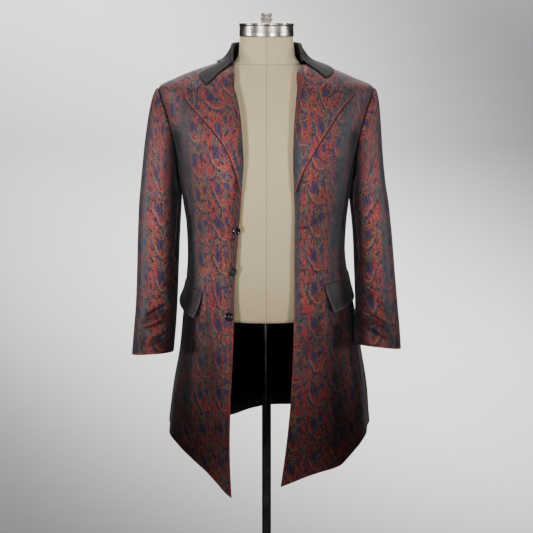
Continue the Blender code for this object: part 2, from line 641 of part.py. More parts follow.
def collar_middle(turn, stand_shares, fold_turns, fall_shares):
    """Middle of the collar's wall: up the stand, over the fold and down the fall, by turn -1 to 1."""
    flip = np.stack([np.where(turn < 0, -1.0, 1.0), np.ones(len(turn)), np.ones(len(turn))], axis=-1)
    seat_angle = collar_line(turn, "seat_angle")
    seat_height = collar_line(turn, "seat_height")
    edge_angle = collar_line(turn, "edge_angle", straight=True)
    edge_height = collar_line(turn, "edge_height", straight=True)
    fold = np.stack([collar_line(turn, name) for name in ("fold_x", "fold_y", "fold_height")], axis=-1)
    fold *= flip
    seat = coat_body(LEFT, seat_angle, seat_height) * flip
    level_out = unit(seat * np.array([1.0, 1.0, 0.0]))
    up = np.array([0.0, 0.0, 1.0])
    stand_foot = seat + up * COLLAR_SEAT_LIFT - level_out * COLLAR_FOLD_RADIUS
    stand_top = fold - level_out * COLLAR_FOLD_RADIUS
    share = np.asarray(stand_shares)[None, :, None]
    stand = stand_foot[:, None] + share * (stand_top - stand_foot)[:, None]
    bend = np.radians(fold_turns)[None, :, None]
    over = fold[:, None] + COLLAR_FOLD_RADIUS * (np.cos(bend) * level_out[:, None] + np.sin(bend) * up)
    share = np.asarray(fall_shares)[None, :]
    fall_angle = seat_angle[:, None] + share * (edge_angle - seat_angle)[:, None]
    fall_height = seat_height[:, None] + share * (edge_height - seat_height)[:, None]
    mirrored = flip[:, None]
    base = coat_body(LEFT, fall_angle, fall_height) * mirrored
    normal = surface_normal(coat_body, LEFT, fall_angle, fall_height) * mirrored
    resting = base + normal * (1.6 * CLOTH_WALL)
    lift = fold + level_out * COLLAR_FOLD_RADIUS - resting[:, 0]
    falling = resting + (1 - share[..., None])**COLLAR_SETTLE * lift[:, None]
    return np.concatenate([stand, over, falling], axis=1)


COLLAR_ROWS = 32


def add_collar(plain_cloth):
    """The collar: one wall, standing round the neck and folded down over the shoulders."""
    turn = np.linspace(-1, 1, COLLAR_ROWS + 1)
    middle = collar_middle(turn, (0, 0.5, 0.95), (150, 90, 30), (0.0, 0.2, 0.45, 0.7, 1.0))
    along = np.gradient(middle, axis=0)
    over = np.gradient(middle, axis=1)
    normal = unit(np.cross(along, over))
    outer = middle + normal * CLOTH_WALL / 2
    inner = middle - normal * CLOTH_WALL / 2
    points, faces = wall_mesh(outer, inner)
    return add_mesh("collar", points, faces, plain_cloth)


def flap_wall(side, across, down):
    """Outer and inner points of a pocket flap, which hangs out from its top seam."""
    sizes = FLAP[side]
    s, t = across[None, :], down[:, None]
    top_angle = sizes["top"][0] + s * (sizes["top"][1] - sizes["top"][0])
    bottom_angle = sizes["bottom"][0] + s * (sizes["bottom"][1] - sizes["bottom"][0])
    angle = (1 - t) * top_angle + t * bottom_angle
    lower_edge = sizes["hang"][0] + s * (sizes["hang"][1] - sizes["hang"][0])
    height = (1 - t) * sizes["height"] + t * lower_edge
    base = front_body(side, angle, height)
    normal = surface_normal(front_body, side, angle, height)
    stand_out = sizes["flare"][0] + s * (sizes["flare"][1] - sizes["flare"][0])
    flare = (PILE_GAP + stand_out * t**1.6)[..., None]
    return base + normal * (flare + CLOTH_WALL), base + normal * flare


def add_flap(side, cloth):
    """One pocket flap."""
    outer, inner = flap_wall(side, steps(10), steps(4))
    points, faces = wall_mesh(outer, inner)
    return add_mesh("pocket_flap_" + SIDE_NAMES[side], points, faces, cloth)


# ---------------------------------------------------------------- turned pieces

def turned_points(profile, segments):
    """Points and faces of a profile turned about Z; its first and last radius are nothing."""
    angle = np.arange(segments) * 2 * np.pi / segments
    rings = [(r, z) for r, z in profile if r > 0]
    points = [(0.0, 0.0, profile[0][1]), (0.0, 0.0, profile[-1][1])]
    for radius, height in rings:
        points += [(radius * np.cos(a), radius * np.sin(a), height) for a in angle]
    faces = []
    for j in range(segments):
        k = (j + 1) % segments
        faces.append((0, 2 + k, 2 + j))
        last = 2 + (len(rings) - 1) * segments
        faces.append((1, last + j, last + k))
        for i in range(len(rings) - 1):
            low, high = 2 + i * segments, 2 + (i + 1) * segments
            faces.append((low + j, low + k, high + k, high + j))
    return np.array(points), faces


def add_turned(name, profile, segments, material):
    """A turned piece standing on the pole's axis."""
    points, faces = turned_points(profile, segments)
    return add_mesh(name, points, faces, material, smooth_angle=30)


BUTTON_PROFILE = [(0.0, 0.0), (0.78 * BUTTON_RADIUS, 0.0), (BUTTON_RADIUS, 0.35 * BUTTON_THICKNESS),
                  (BUTTON_RADIUS, 0.65 * BUTTON_THICKNESS), (0.88 * BUTTON_RADIUS, BUTTON_THICKNESS),
                  (0.72 * BUTTON_RADIUS, BUTTON_THICKNESS), (0.58 * BUTTON_RADIUS, 0.75 * BUTTON_THICKNESS),
                  (0.0, 0.75 * BUTTON_THICKNESS)]


def add_buttons(material):
    """The buttons down the wearer's right front, each square to the cloth under it."""
    for number, (angle, height) in enumerate(BUTTON_PLACES, start=1):
        centre = front_body(RIGHT, np.array(angle), np.array(height))
        normal = surface_normal(front_body, RIGHT, np.array(angle), np.array(height))
        upward = unit(np.array([0.0, 0.0, 1.0]) - normal[2] * normal)
        across = np.cross(upward, normal)
        points, faces = turned_points(BUTTON_PROFILE, 20)
        stand_off = centre + normal * 3 * PILE_GAP
        placed = stand_off + points @ np.stack([across, upward, normal])
        add_mesh(f"button_{number}", placed, faces, material, smooth_angle=30)


def form_ring(height, angle):
    """One level section of the dress form."""
    half, front, back, square = (smooth(FORM, n, height) for n in ("half", "front", "back", "squareness"))
    reach = ring_reach(angle, square)
    depth = np.where(np.cos(angle) > 0, front, back)
    level = np.full(len(angle), height)
    return np.stack([half * reach * np.sin(angle), -depth * reach * np.cos(angle), level], axis=-1)


def add_form(cover):
    """The dress form's torso and neck, one smooth closed shape."""
    angle = np.arange(FORM_SEGMENTS) * 2 * np.pi / FORM_SEGMENTS
    points = np.concatenate([form_ring(height, angle) for height in FORM_LEVELS])
    underside = tuple(range(FORM_SEGMENTS))
    neck_top = tuple(range(len(points) - 1, len(points) - FORM_SEGMENTS - 1, -1))
    faces = [underside, neck_top]
    for i in range(len(FORM_LEVELS) - 1):
        low, high = i * FORM_SEGMENTS, (i + 1) * FORM_SEGMENTS
        for j in range(FORM_SEGMENTS):
            k = (j + 1) % FORM_SEGMENTS
            faces.append((low + j, high + j, high + k, low + k))
    return add_mesh("form_torso", points, faces, cover)


def clear_scene():
    """Take out whatever the file opened with."""
    for thing in list(bpy.data.objects):
        bpy.data.objects.remove(thing)


def main():
    clear_scene()
    brocade = finish("brocade", (0.13, 0.035, 0.035), 0.45)
    charcoal = finish("collar_cloth", (0.035, 0.035, 0.035), 0.65)
    glossy_black = finish("button_black", (0.01, 0.01, 0.012), 0.18)
    cover = finish("form_cover", (0.62, 0.54, 0.40), 0.80)
    chrome = finish("chrome", (0.72, 0.68, 0.64), 0.18, metallic=1.0)
    for side in (RIGHT, LEFT):
        add_front(side, brocade)
        add_back(side, brocade)
        add_sleeve(side, brocade)
        add_lapel(side, brocade)
        add_flap(side, brocade)
    add_collar(charcoal)
    add_buttons(glossy_black)
    add_form(cover)
    add_turned("form_neck_cap", NECK_CAP, 24, chrome)
    pole = [(0.0, POLE_SOCKET_TOP + 0.0005), (POLE_RADIUS, POLE_SOCKET_TOP + 0.0005),
            (POLE_RADIUS, FORM_UNDERSIDE - 0.0005), (0.0, FORM_UNDERSIDE - 0.0005)]
    add_turned("stand_pole", pole, 24, chrome)
    add_turned("stand_base", BASE_PROFILE, 48, chrome)


main()
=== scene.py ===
"""The finish of a frock coat in paisley brocade, worn open on a limbless dress form.

Metres, +Z up. The coat's front faces -Y and the wearer's right side is -X.
Every cloth piece is a thin wall over a grid of points; the grids come from level sections of
the body, from rings of the sleeve and from short tables of edges, folds and creases.
"""
from functools import partialmethod

import bpy
import numpy as np
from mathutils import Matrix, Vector


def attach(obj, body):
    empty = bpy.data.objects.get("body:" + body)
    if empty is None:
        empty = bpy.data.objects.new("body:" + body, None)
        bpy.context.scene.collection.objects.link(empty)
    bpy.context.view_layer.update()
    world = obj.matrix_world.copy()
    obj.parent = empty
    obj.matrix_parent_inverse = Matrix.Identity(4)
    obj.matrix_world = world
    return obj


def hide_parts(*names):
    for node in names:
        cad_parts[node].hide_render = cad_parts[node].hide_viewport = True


RIGHT = -1
LEFT = 1
SIDE_NAMES = {RIGHT: "right", LEFT: "left"}
MILLIMETRES = 1000.0
CLOTH_WALL = 0.002
# How far stitching draws in each border, and the air left between two layers of cloth.
EDGE_INSET = 0.0011
PILE_GAP = 0.0006

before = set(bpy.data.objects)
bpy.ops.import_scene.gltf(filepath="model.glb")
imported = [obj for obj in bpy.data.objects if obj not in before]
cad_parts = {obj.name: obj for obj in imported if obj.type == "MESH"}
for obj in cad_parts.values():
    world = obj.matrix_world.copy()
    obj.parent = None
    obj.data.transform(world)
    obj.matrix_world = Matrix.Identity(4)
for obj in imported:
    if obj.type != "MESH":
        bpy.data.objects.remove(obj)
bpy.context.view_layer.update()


# ---------------------------------------------------------------- tables

def table(columns, rows):
    """Named columns as arrays, from rows with one section or fold a line."""
    return dict(zip(columns.split(), np.array(rows, dtype=float).T))


def smooth(rows, column, at):
    """Cubic through one column over its first column, its slopes held so that it never overshoots."""
    x = next(iter(rows.values()))
    y = rows[column]
    at = np.clip(np.asarray(at, dtype=float), x[0], x[-1])
    step = np.diff(x)
    rise = np.diff(y) / step
    slope = np.concatenate([rise[:1], np.zeros(len(x) - 2), rise[-1:]])
    before, after = rise[:-1], rise[1:]
    same_way = before * after > 0
    weight_1 = 2 * step[1:] + step[:-1]
    weight_2 = step[1:] + 2 * step[:-1]
    total = weight_1[same_way] + weight_2[same_way]
    parts = weight_1[same_way] / before[same_way] + weight_2[same_way] / after[same_way]
    slope[1:-1][same_way] = total / parts
    k = np.clip(np.searchsorted(x, at, side="right") - 1, 0, len(x) - 2)
    t = (at - x[k]) / step[k]
    start = (2 * t**3 - 3 * t**2 + 1) * y[k] + (t**3 - 2 * t**2 + t) * step[k] * slope[k]
    end = (3 * t**2 - 2 * t**3) * y[k + 1] + (t**3 - t**2) * step[k] * slope[k + 1]
    return start + end


# Level sections of the coat's body, from the hem to the neck seam.
BODY = table("height right_half left_half front back squareness", [
    (0.540, 0.2500, 0.2620, 0.2070, 0.1700, 2.00),
    (0.660, 0.2365, 0.2485, 0.1940, 0.1630, 2.00),
    (0.760, 0.2220, 0.2345, 0.1820, 0.1560, 2.05),
    (0.850, 0.2045, 0.2180, 0.1700, 0.1480, 2.10),
    (0.940, 0.1935, 0.2050, 0.1590, 0.1390, 2.15),
    (1.020, 0.1845, 0.1890, 0.1510, 0.1290, 2.20),
    (1.100, 0.1785, 0.1770, 0.1480, 0.1210, 2.25),
    (1.150, 0.1800, 0.1785, 0.1500, 0.1230, 2.30),
    (1.200, 0.1865, 0.1840, 0.1550, 0.1300, 2.35),
    (1.250, 0.1940, 0.1920, 0.1580, 0.1370, 2.40),
    (1.300, 0.2030, 0.2010, 0.1570, 0.1410, 2.45),
    (1.350, 0.2130, 0.2110, 0.1500, 0.1400, 2.45),
    (1.400, 0.2250, 0.2230, 0.1360, 0.1320, 2.40),
    (1.430, 0.2330, 0.2310, 0.1230, 0.1230, 2.30),
    (1.449, 0.2370, 0.2350, 0.1130, 0.1150, 2.20),
    (1.472, 0.1960, 0.1900, 0.0985, 0.1040, 2.10),
    (1.485, 0.1640, 0.1600, 0.0890, 0.0970, 2.05),
    (1.495, 0.1340, 0.1330, 0.0800, 0.0900, 2.00),
    (1.504, 0.1060, 0.1060, 0.0700, 0.0820, 2.00),
    (1.512, 0.0840, 0.0840, 0.0600, 0.0750, 2.00),
])

# Soft upright folds of the skirt: they start at top and are deepest at the hem.
SKIRT_FOLDS = table("side angle width top depth", [
    (RIGHT, 66, 9, 0.93, 0.0060),
    (RIGHT, 84, 8, 0.98, -0.0080),
    (RIGHT, 128, 12, 1.02, -0.0070),
    (RIGHT, 156, 11, 1.02, 0.0060),
    (LEFT, 62, 9, 0.95, 0.0050),
    (LEFT, 80, 8, 0.92, -0.0080),
    (LEFT, 118, 11, 1.02, 0.0050),
    (LEFT, 146, 12, 1.02, -0.0070),
])
FOLD_GROWTH = 1.4
FOLD_LIMIT = 1.2
HEM_LEVEL = 0.60

# The front edges roll back toward the wearer.
EDGE_ROLL = table("height depth", [
    (0.560, 0.0000), (0.800, 0.0030), (0.965, 0.0090), (1.065, 0.0150),
    (1.155, 0.0200), (1.240, 0.0210), (1.320, 0.0170), (1.430, 0.0090), (1.512, 0.0000),
])
EDGE_ROLL_LIMIT = 1.4
EDGE_ROLL_WIDTH = 0.028

# Rows of the panels rise by steps: level through the skirt and chest, then fanned to the shoulder.
FRONT_EDGE = {
    RIGHT: table("step angle height", [
        (0.00, 18.2, 0.558), (0.05, 19.5, 0.620), (0.10, 20.3, 0.680), (0.16, 20.8, 0.755),
        (0.27, 21.2, 0.850), (0.37, 21.2, 0.940), (0.46, 21.6, 1.020), (0.55, 20.4, 1.100),
        (0.63, 17.7, 1.175), (0.70, 15.4, 1.238), (0.76, 13.1, 1.320), (0.82, 13.4, 1.385),
        (0.88, 15.5, 1.445), (0.93, 24.0, 1.482), (0.97, 50.0, 1.504), (1.00, 88.0, 1.512),
    ]),
    LEFT: table("step angle height", [
        (0.00, 6.9, 0.588), (0.05, 9.1, 0.650), (0.10, 10.9, 0.705), (0.16, 13.0, 0.775),
        (0.27, 15.2, 0.860), (0.37, 16.6, 0.940), (0.46, 18.2, 1.020), (0.55, 19.2, 1.100),
        (0.63, 18.8, 1.175), (0.70, 17.2, 1.238), (0.76, 15.2, 1.320), (0.82, 14.8, 1.385),
        (0.88, 15.2, 1.445), (0.92, 24.0, 1.484), (0.95, 41.0, 1.4985), (0.97, 54.0, 1.505),
        (1.00, 88.0, 1.512),
    ]),
}
ARMPIT_STEP = 0.70
SIDE_SEAM = table("step angle height", [
    (0.00, 100, 0.662), (0.16, 100, 0.755), (0.27, 100, 0.850), (0.37, 100, 0.940),
    (0.46, 100, 1.020), (0.55, 99, 1.100), (0.63, 96, 1.180), (0.70, 90, 1.250),
])
# The armhole, by turn round it from the shoulder tip to the armpit.
ARMHOLE = table("turn front_angle back_angle height", [
    (0, 90, 90, 1.449), (25, 82, 98, 1.442), (50, 75, 105, 1.421), (75, 71, 109, 1.390),
    (100, 69, 111, 1.350), (125, 70, 110, 1.303), (150, 77, 103, 1.268), (180, 90, 90, 1.250),
])
FRONT_HEM = {
    RIGHT: table("angle height", [
        (18.2, 0.558), (21.5, 0.567), (27.5, 0.589), (35, 0.611), (43, 0.626), (53, 0.641),
        (66, 0.657), (78, 0.661), (100, 0.662),
    ]),
    LEFT: table("angle height", [
        (6.9, 0.588), (12, 0.5955), (21, 0.607), (28, 0.612), (40.5, 0.616), (48, 0.630),
        (56, 0.646), (65, 0.660), (78, 0.664), (100, 0.662),
    ]),
}
BACK_HEM = {
    RIGHT: table("angle height", [
        (100, 0.662), (115, 0.647), (135, 0.624), (157, 0.614), (170, 0.630), (180, 0.640),
    ]),
    LEFT: table("angle height", [
        (100, 0.662), (130, 0.653), (157, 0.646), (180, 0.640),
    ]),
}
CENTRE_BACK_NECK = 1.497
NECK_TURN_SHARE = 0.25
NECK_SHARE = 0.22
SHOULDER_TIP = 1.449
NECK_POINT = 1.512

# The lapels' outer edges, and the gorge seams where they meet the collar.
LAPEL_EDGE = {
    RIGHT: table("share angle height", [
        (0.00, 17.6, 1.236), (0.20, 20.0, 1.289), (0.40, 23.5, 1.328), (0.60, 29.5, 1.364),
        (0.80, 37.5, 1.398), (1.00, 46.0, 1.432),
    ]),
    LEFT: table("share angle height", [
        (0.00, 19.4, 1.236), (0.20, 23.0, 1.284), (0.40, 28.5, 1.325), (0.60, 34.5, 1.364),
        (0.80, 42.0, 1.408), (1.00, 51.0, 1.439),
    ]),
}
GORGE = {
    RIGHT: table("share angle height", [(0.0, 36.0, 1.4940), (0.45, 32.2, 1.4565), (1.0, 46.0, 1.432)]),
    LEFT: table("share angle height", [(0.0, 41.0, 1.4985), (0.45, 37.8, 1.4690), (1.0, 51.0, 1.439)]),
}
LAPEL_BREAK_STEP = 0.70
LAPEL_TOP_STEP = 0.95
LAPEL_LIFT = 0.0030
LAPEL_ROLL_LIFT = 0.0035
LAPEL_EDGE_CLEARANCE = 0.0010
LAPEL_ROLL_WIDTH = 0.22
# Above the break the front's edge is tucked in, and the lapel folds round it just inside its line.
FRONT_TUCK = table("step angle", [(0.70, 0.0), (0.725, 1.5), (0.95, 1.0), (1.00, 0.0)])
LAPEL_FOLD = table("up inset first_turn", [
    (0.0, 1.2, 60), (0.1, 1.2, 45), (0.2, 1.2, -45), (0.3, 1.2, -90), (0.8, 1.2, -90), (1.0, 0.0, -90),
])

# The collar by turn from the centre back to the gorge; its seat is a place on the coat's body.
COLLAR_COLUMNS = "turn seat_angle seat_height fold_x fold_y fold_height edge_angle edge_height"
COLLAR = table(COLLAR_COLUMNS, [
    (0.00, 180, 1.4975, 0.0000, 0.0690, 1.5400, 180.0, 1.4860),
    (0.30, 140, 1.5060, 0.0500, 0.0520, 1.5430, 137.0, 1.4945),
    (0.58, 92, 1.5125, 0.0725, -0.0020, 1.5415, 92.0, 1.5025),
])
# The collar's two ends hang a little differently: shoulder, outer corner, then inner corner.
COLLAR_ENDS = {
    RIGHT: table(COLLAR_COLUMNS, [
        (0.78, 66, 1.5110, 0.0745, -0.0280, 1.5300, 60.0, 1.5015),
        (0.90, 51, 1.5062, 0.0745, -0.0450, 1.5155, 52.2, 1.4765),
        (1.00, 38, 1.4985, 0.0730, -0.0585, 1.5045, 33.5, 1.4600),
    ]),
    LEFT: table(COLLAR_COLUMNS, [
        (0.78, 66, 1.5110, 0.0750, -0.0280, 1.5300, 77.0, 1.4920),
        (0.90, 56, 1.5075, 0.0765, -0.0395, 1.5175, 66.0, 1.4860),
        (1.00, 46, 1.5025, 0.0770, -0.0495, 1.5090, 40.0, 1.4725),
    ]),
}
COLLAR_FOLD_RADIUS = 0.003
COLLAR_SEAT_LIFT = 0.0030
COLLAR_SETTLE = 4.5

# Sleeves: level rings by height; inner is the side next to the body.
SLEEVE = {
    RIGHT: table("height outer inner centre_y half_depth", [
        (0.862, 0.3045, 0.2100, -0.081, 0.052), (0.920, 0.3000, 0.2050, -0.064, 0.053),
        (0.970, 0.2960, 0.2020, -0.051, 0.055), (1.040, 0.2930, 0.1990, -0.037, 0.057),
        (1.120, 0.2905, 0.1955, -0.023, 0.060), (1.200, 0.2865, 0.1910, -0.010, 0.064),
    ]),
    LEFT: table("height outer inner centre_y half_depth", [
        (0.880, 0.3030, 0.1990, -0.087, 0.052), (0.930, 0.2995, 0.1995, -0.075, 0.052),
        (0.970, 0.2960, 0.2000, -0.062, 0.053), (1.040, 0.2900, 0.1980, -0.043, 0.056),
        (1.120, 0.2835, 0.1950, -0.023, 0.060), (1.200, 0.2745, 0.1870, -0.010, 0.064),
    ]),
}
SLEEVE_SQUARENESS = 2.2
BICEP_LEVEL = 1.200
# The cap's soft S-curve: how far it leaves the armhole and arrives at the bicep, as shares of its
# length, and how far it leans and swells; pairs are for the underarm and the top.
CAP_LEAVE = (0.185, 0.085)
CAP_ARRIVE = 0.46
CAP_LEAN = {RIGHT: 0.05, LEFT: 0.09}
CAP_OUT = (0.45, 1.00)
CAP_SWELL = 0.45
CAP_DROP = 0.50
CUFF_SLANT = {RIGHT: 0.003, LEFT: 0.006}
CUFF_TILT = 0.012
FRONT_SEAM_TURN = 150
BACK_SEAM_TURN = 240

# Pocket flaps: the ends of their seam and lower edge, the seam's height, and at either end the
# lower edge's height and how far it stands out.
FLAP = {
    RIGHT: {
        "top": (47, 97), "bottom": (51, 97), "height": 1.012, "hang": (0.949, 0.973),
        "flare": (0.009, 0.009),
    },
    LEFT: {
        "top": (40.5, 97), "bottom": (44, 97), "height": 1.031, "hang": (0.966, 0.984),
        "flare": (0.009, 0.001),
    },
}

# Angle and height of each button.
BUTTON_PLACES = [(21.0, 1.153), (23.8, 1.063), (25.0, 0.964)]
BUTTON_RADIUS = 0.0097
BUTTON_THICKNESS = 0.0038

# The form inside the coat, by level sections.
FORM = table("height half front back squareness", [
    (0.938, 0.1560, 0.1080, 0.1080, 2.3),
    (0.945, 0.1640, 0.1160, 0.1120, 2.3),
    (1.000, 0.1640, 0.1180, 0.1110, 2.3),
    (1.100, 0.1520, 0.1120, 0.1030, 2.3),
    (1.200, 0.1590, 0.1220, 0.1100, 2.3),
    (1.290, 0.1720, 0.1260, 0.1220, 2.4),
    (1.360, 0.1840, 0.1160, 0.1220, 2.4),
    (1.410, 0.1900, 0.0980, 0.1120, 2.3),
    (1.440, 0.1850, 0.0840, 0.1000, 2.2),
    (1.460, 0.1680, 0.0760, 0.0900, 2.1),
    (1.476, 0.1380, 0.0700, 0.0820, 2.0),
    (1.489, 0.1020, 0.0640, 0.0720, 2.0),
    (1.501, 0.0740, 0.0590, 0.0630, 2.0),
    (1.520, 0.0620, 0.0560, 0.0570, 2.0),
    (1.558, 0.0580, 0.0560, 0.0560, 2.0),
])
# Turned profiles, as radius and height.
NECK_CAP = [(0.0, 1.5583), (0.0590, 1.5583), (0.0595, 1.5640), (0.0585, 1.5800), (0.0600, 1.5835),
            (0.0600, 1.5865), (0.0560, 1.5880), (0.0200, 1.5900), (0.0110, 1.5915), (0.0110, 1.5940),
            (0.0140, 1.5955), (0.0140, 1.5975), (0.0105, 1.5990), (0.0100, 1.6015), (0.0125, 1.6045),
            (0.0120, 1.6075), (0.0070, 1.6100), (0.0, 1.6106)]
POLE_RADIUS = 0.011
BASE_RADIUS = 0.190
BASE_TOP = 0.012
POLE_SOCKET_TOP = 0.055
FORM_UNDERSIDE = 0.938
BASE_PROFILE = [(0.0, 0.0), (BASE_RADIUS - 0.003, 0.0), (BASE_RADIUS, 0.003), (BASE_RADIUS, 0.008),
                (BASE_RADIUS - 0.004, BASE_TOP), (0.030, BASE_TOP + 0.002), (0.020, BASE_TOP + 0.006),
                (0.018, POLE_SOCKET_TOP - 0.002), (0.016, POLE_SOCKET_TOP), (0.0, POLE_SOCKET_TOP)]
# How far each crease bows, as a share of its length, and how it fades toward its ends.
CREASE_BOW = 0.10
CREASE_HALF = 0.48
CREASE_FADE = 3.5

# Soft creases: each runs from one place to another; depth is below nothing for a trough.
# The length of one degree round the body, and further down of one degree round a sleeve.
DEGREE_ROUND_BODY = 0.0031
CREASE_COLUMNS = "side turn_1 height_1 turn_2 height_2 width depth"
BODY_CREASES = table(CREASE_COLUMNS, [
    (RIGHT, 63, 1.330, 66, 1.080, 0.012, -0.0040),
    (RIGHT, 73, 1.250, 76, 1.050, 0.010, 0.0030),
    (RIGHT, 50, 1.200, 56, 1.060, 0.014, -0.0016),
    (RIGHT, 45, 0.995, 42, 0.900, 0.008, -0.0030),
    (RIGHT, 40, 0.985, 35, 0.880, 0.007, 0.0018),
    (RIGHT, 57, 1.040, 72, 1.028, 0.008, -0.0020),
    (RIGHT, 35, 0.850, 30, 0.640, 0.016, -0.0020),
    (RIGHT, 52, 0.900, 50, 0.660, 0.013, 0.0022),
    (RIGHT, 76, 0.900, 78, 0.680, 0.009, -0.0034),
    (RIGHT, 90, 1.160, 112, 1.130, 0.010, -0.0024),
    (RIGHT, 96, 1.110, 128, 1.080, 0.011, -0.0020),
    (RIGHT, 118, 1.330, 126, 1.140, 0.012, -0.0034),
    (RIGHT, 140, 1.420, 133, 1.260, 0.012, -0.0022),
    (RIGHT, 170, 0.960, 172, 0.680, 0.014, -0.0030),
    (RIGHT, 110, 0.900, 108, 0.690, 0.011, 0.0030),
    (LEFT, 66, 1.340, 68, 1.120, 0.013, -0.0038),
    (LEFT, 56, 1.330, 50, 1.180, 0.016, 0.0020),
    (LEFT, 78, 1.220, 80, 1.060, 0.010, 0.0026),
    (LEFT, 38, 1.010, 35, 0.930, 0.008, -0.0028),
    (LEFT, 27, 0.900, 22, 0.845, 0.014, -0.0034),
    (LEFT, 48, 0.950, 44, 0.720, 0.014, -0.0020),
    (LEFT, 58, 0.900, 55, 0.680, 0.010, 0.0022),
    (LEFT, 89, 0.930, 91, 0.700, 0.008, 0.0040),
    (LEFT, 70, 0.900, 71, 0.690, 0.008, -0.0028),
    (LEFT, 88, 1.150, 110, 1.135, 0.010, -0.0024),
    (LEFT, 94, 1.100, 124, 1.070, 0.011, -0.0020),
    (LEFT, 116, 1.330, 122, 1.150, 0.012, -0.0034),
    (LEFT, 138, 1.425, 130, 1.270, 0.012, -0.0022),
    (LEFT, 168, 0.950, 166, 0.690, 0.013, -0.0034),
    (LEFT, 106, 0.890, 104, 0.690, 0.012, 0.0030),
])
DEGREE_ROUND_SLEEVE = 0.00083
SLEEVE_CREASES = table(CREASE_COLUMNS, [
    (RIGHT, 68, 0.947, 122, 0.971, 0.0065, -0.0110),
    (RIGHT, 60, 0.928, 118, 0.949, 0.0075, 0.0075),
    (RIGHT, 88, 0.890, 130, 0.905, 0.0050, -0.0070),
    (RIGHT, 84, 0.875, 126, 0.888, 0.0060, 0.0036),
    (RIGHT, 56, 0.904, 74, 0.883, 0.0050, -0.0060),
    (RIGHT, 118, 1.024, 160, 1.032, 0.0065, -0.0066),
    (RIGHT, 128, 1.090, 168, 1.082, 0.0080, -0.0030),
    (RIGHT, 20, 1.000, 60, 0.984, 0.0090, -0.0022),
    (RIGHT, 140, 1.190, 150, 1.060, 0.0080, -0.0034),
    (RIGHT, 60, 1.330, 74, 1.180, 0.0120, -0.0024),
    (RIGHT, 215, 1.060, 262, 1.044, 0.0080, -0.0040),
    (RIGHT, 212, 1.010, 258, 1.020, 0.0080, -0.0036),
    (RIGHT, 222, 0.960, 270, 0.948, 0.0080, -0.0030),
    (RIGHT, 285, 1.260, 300, 1.110, 0.0110, -0.0024),
    (LEFT, 130, 0.960, 68, 0.928, 0.0065, -0.0120),
    (LEFT, 124, 0.940, 70, 0.909, 0.0070, 0.0080),
    (LEFT, 88, 0.985, 72, 0.968, 0.0050, -0.0046),
    (LEFT, 146, 1.012, 104, 1.000, 0.0080, -0.0050),
    (LEFT, 150, 1.080, 112, 1.070, 0.0090, -0.0026),
    (LEFT, 142, 1.210, 152, 1.050, 0.0080, -0.0044),
    (LEFT, 60, 1.320, 76, 1.170, 0.0120, -0.0022),
    (LEFT, 40, 0.930, 66, 0.914, 0.0080, -0.0024),
    (LEFT, 214, 1.055, 260, 1.040, 0.0080, -0.0040),
    (LEFT, 210, 1.004, 256, 1.012, 0.0080, -0.0034),
    (LEFT, 226, 0.955, 268, 0.944, 0.0080, -0.0030),
    (LEFT, 288, 1.250, 300, 1.100, 0.0110, -0.0024),
])
# Painted sheen and painted shade on the front half, as soft bands from one place to another: grey is
# painted sheen where the satin turns from the light, dark is painted shade on the sleeves' inner sides
# and low on the skirts.
SHEEN_AND_SHADE_BANDS = table("side across_1 height_1 across_2 height_2 width grey dark", [
    (RIGHT, 0.176, 1.420, 0.168, 1.240, 0.015, 0.75, 0.20),
    (RIGHT, 0.166, 1.240, 0.160, 1.020, 0.011, 0.75, 0.25),
    (RIGHT, 0.050, 1.350, 0.052, 1.220, 0.007, 0.75, 0.00),
    (RIGHT, 0.055, 1.220, 0.061, 1.090, 0.010, 0.85, 0.00),
    (RIGHT, 0.068, 1.090, 0.078, 0.950, 0.007, 0.70, 0.10),
    (RIGHT, 0.198, 1.350, 0.199, 1.000, 0.018, 0.20, 0.97),
    (RIGHT, 0.199, 1.000, 0.205, 0.880, 0.015, 0.20, 0.75),
    (RIGHT, 0.262, 1.400, 0.277, 0.900, 0.008, 0.60, 0.00),
    (LEFT, 0.180, 1.440, 0.165, 1.300, 0.019, 0.75, 0.15),
    (LEFT, 0.160, 1.300, 0.153, 1.110, 0.018, 0.85, 0.30),
    (LEFT, 0.148, 1.110, 0.140, 0.960, 0.013, 0.45, 0.30),
    (LEFT, 0.064, 1.350, 0.064, 1.160, 0.009, 0.92, 0.05),
    (LEFT, 0.064, 1.160, 0.066, 0.960, 0.007, 0.75, 0.15),
    (LEFT, 0.191, 1.350, 0.194, 0.930, 0.015, 0.30, 0.88),
    (LEFT, 0.249, 1.360, 0.272, 0.900, 0.009, 0.70, 0.10),
    (LEFT, 0.150, 0.960, 0.165, 0.700, 0.020, 0.30, 0.45),
    (RIGHT, 0.170, 0.960, 0.185, 0.720, 0.018, 0.30, 0.45),
    (RIGHT, 0.140, 0.930, 0.120, 0.800, 0.030, 0.25, 0.20),
    (LEFT, 0.110, 0.930, 0.090, 0.900, 0.022, 0.20, 0.30),
])
PAINTED_BANDS_FADE = 0.02

# Rows and columns of the pieces' grids, and the turns of the points round a wall's rim.
BODY_ROWS = (140, 90)
FRONT_COLUMNS = 100
BACK_COLUMNS = 96
SLEEVE_ROWS = 120
CAP_ROWS = 60
SLEEVE_COLUMNS = 180
LAPEL_ROWS = 110
LAPEL_COLUMNS = 70
LAPEL_WRAP_COLUMNS = 11
COLLAR_ROWS = 100
FLAP_ROWS = 44
FLAP_COLUMNS = 70
RIM_TURNS = (30, 60, 90, 120, 150)

# Where the pattern starts on each piece, across and up.
WAIST_LEVEL = 1.000
BACK_START = 0.028
SLEEVE_START = 0.010
SLEEVE_LEVEL = 0.870
LAPEL_START = 0.020
LAPEL_LEVEL = 1.236
FLAP_LEVEL = 1.02

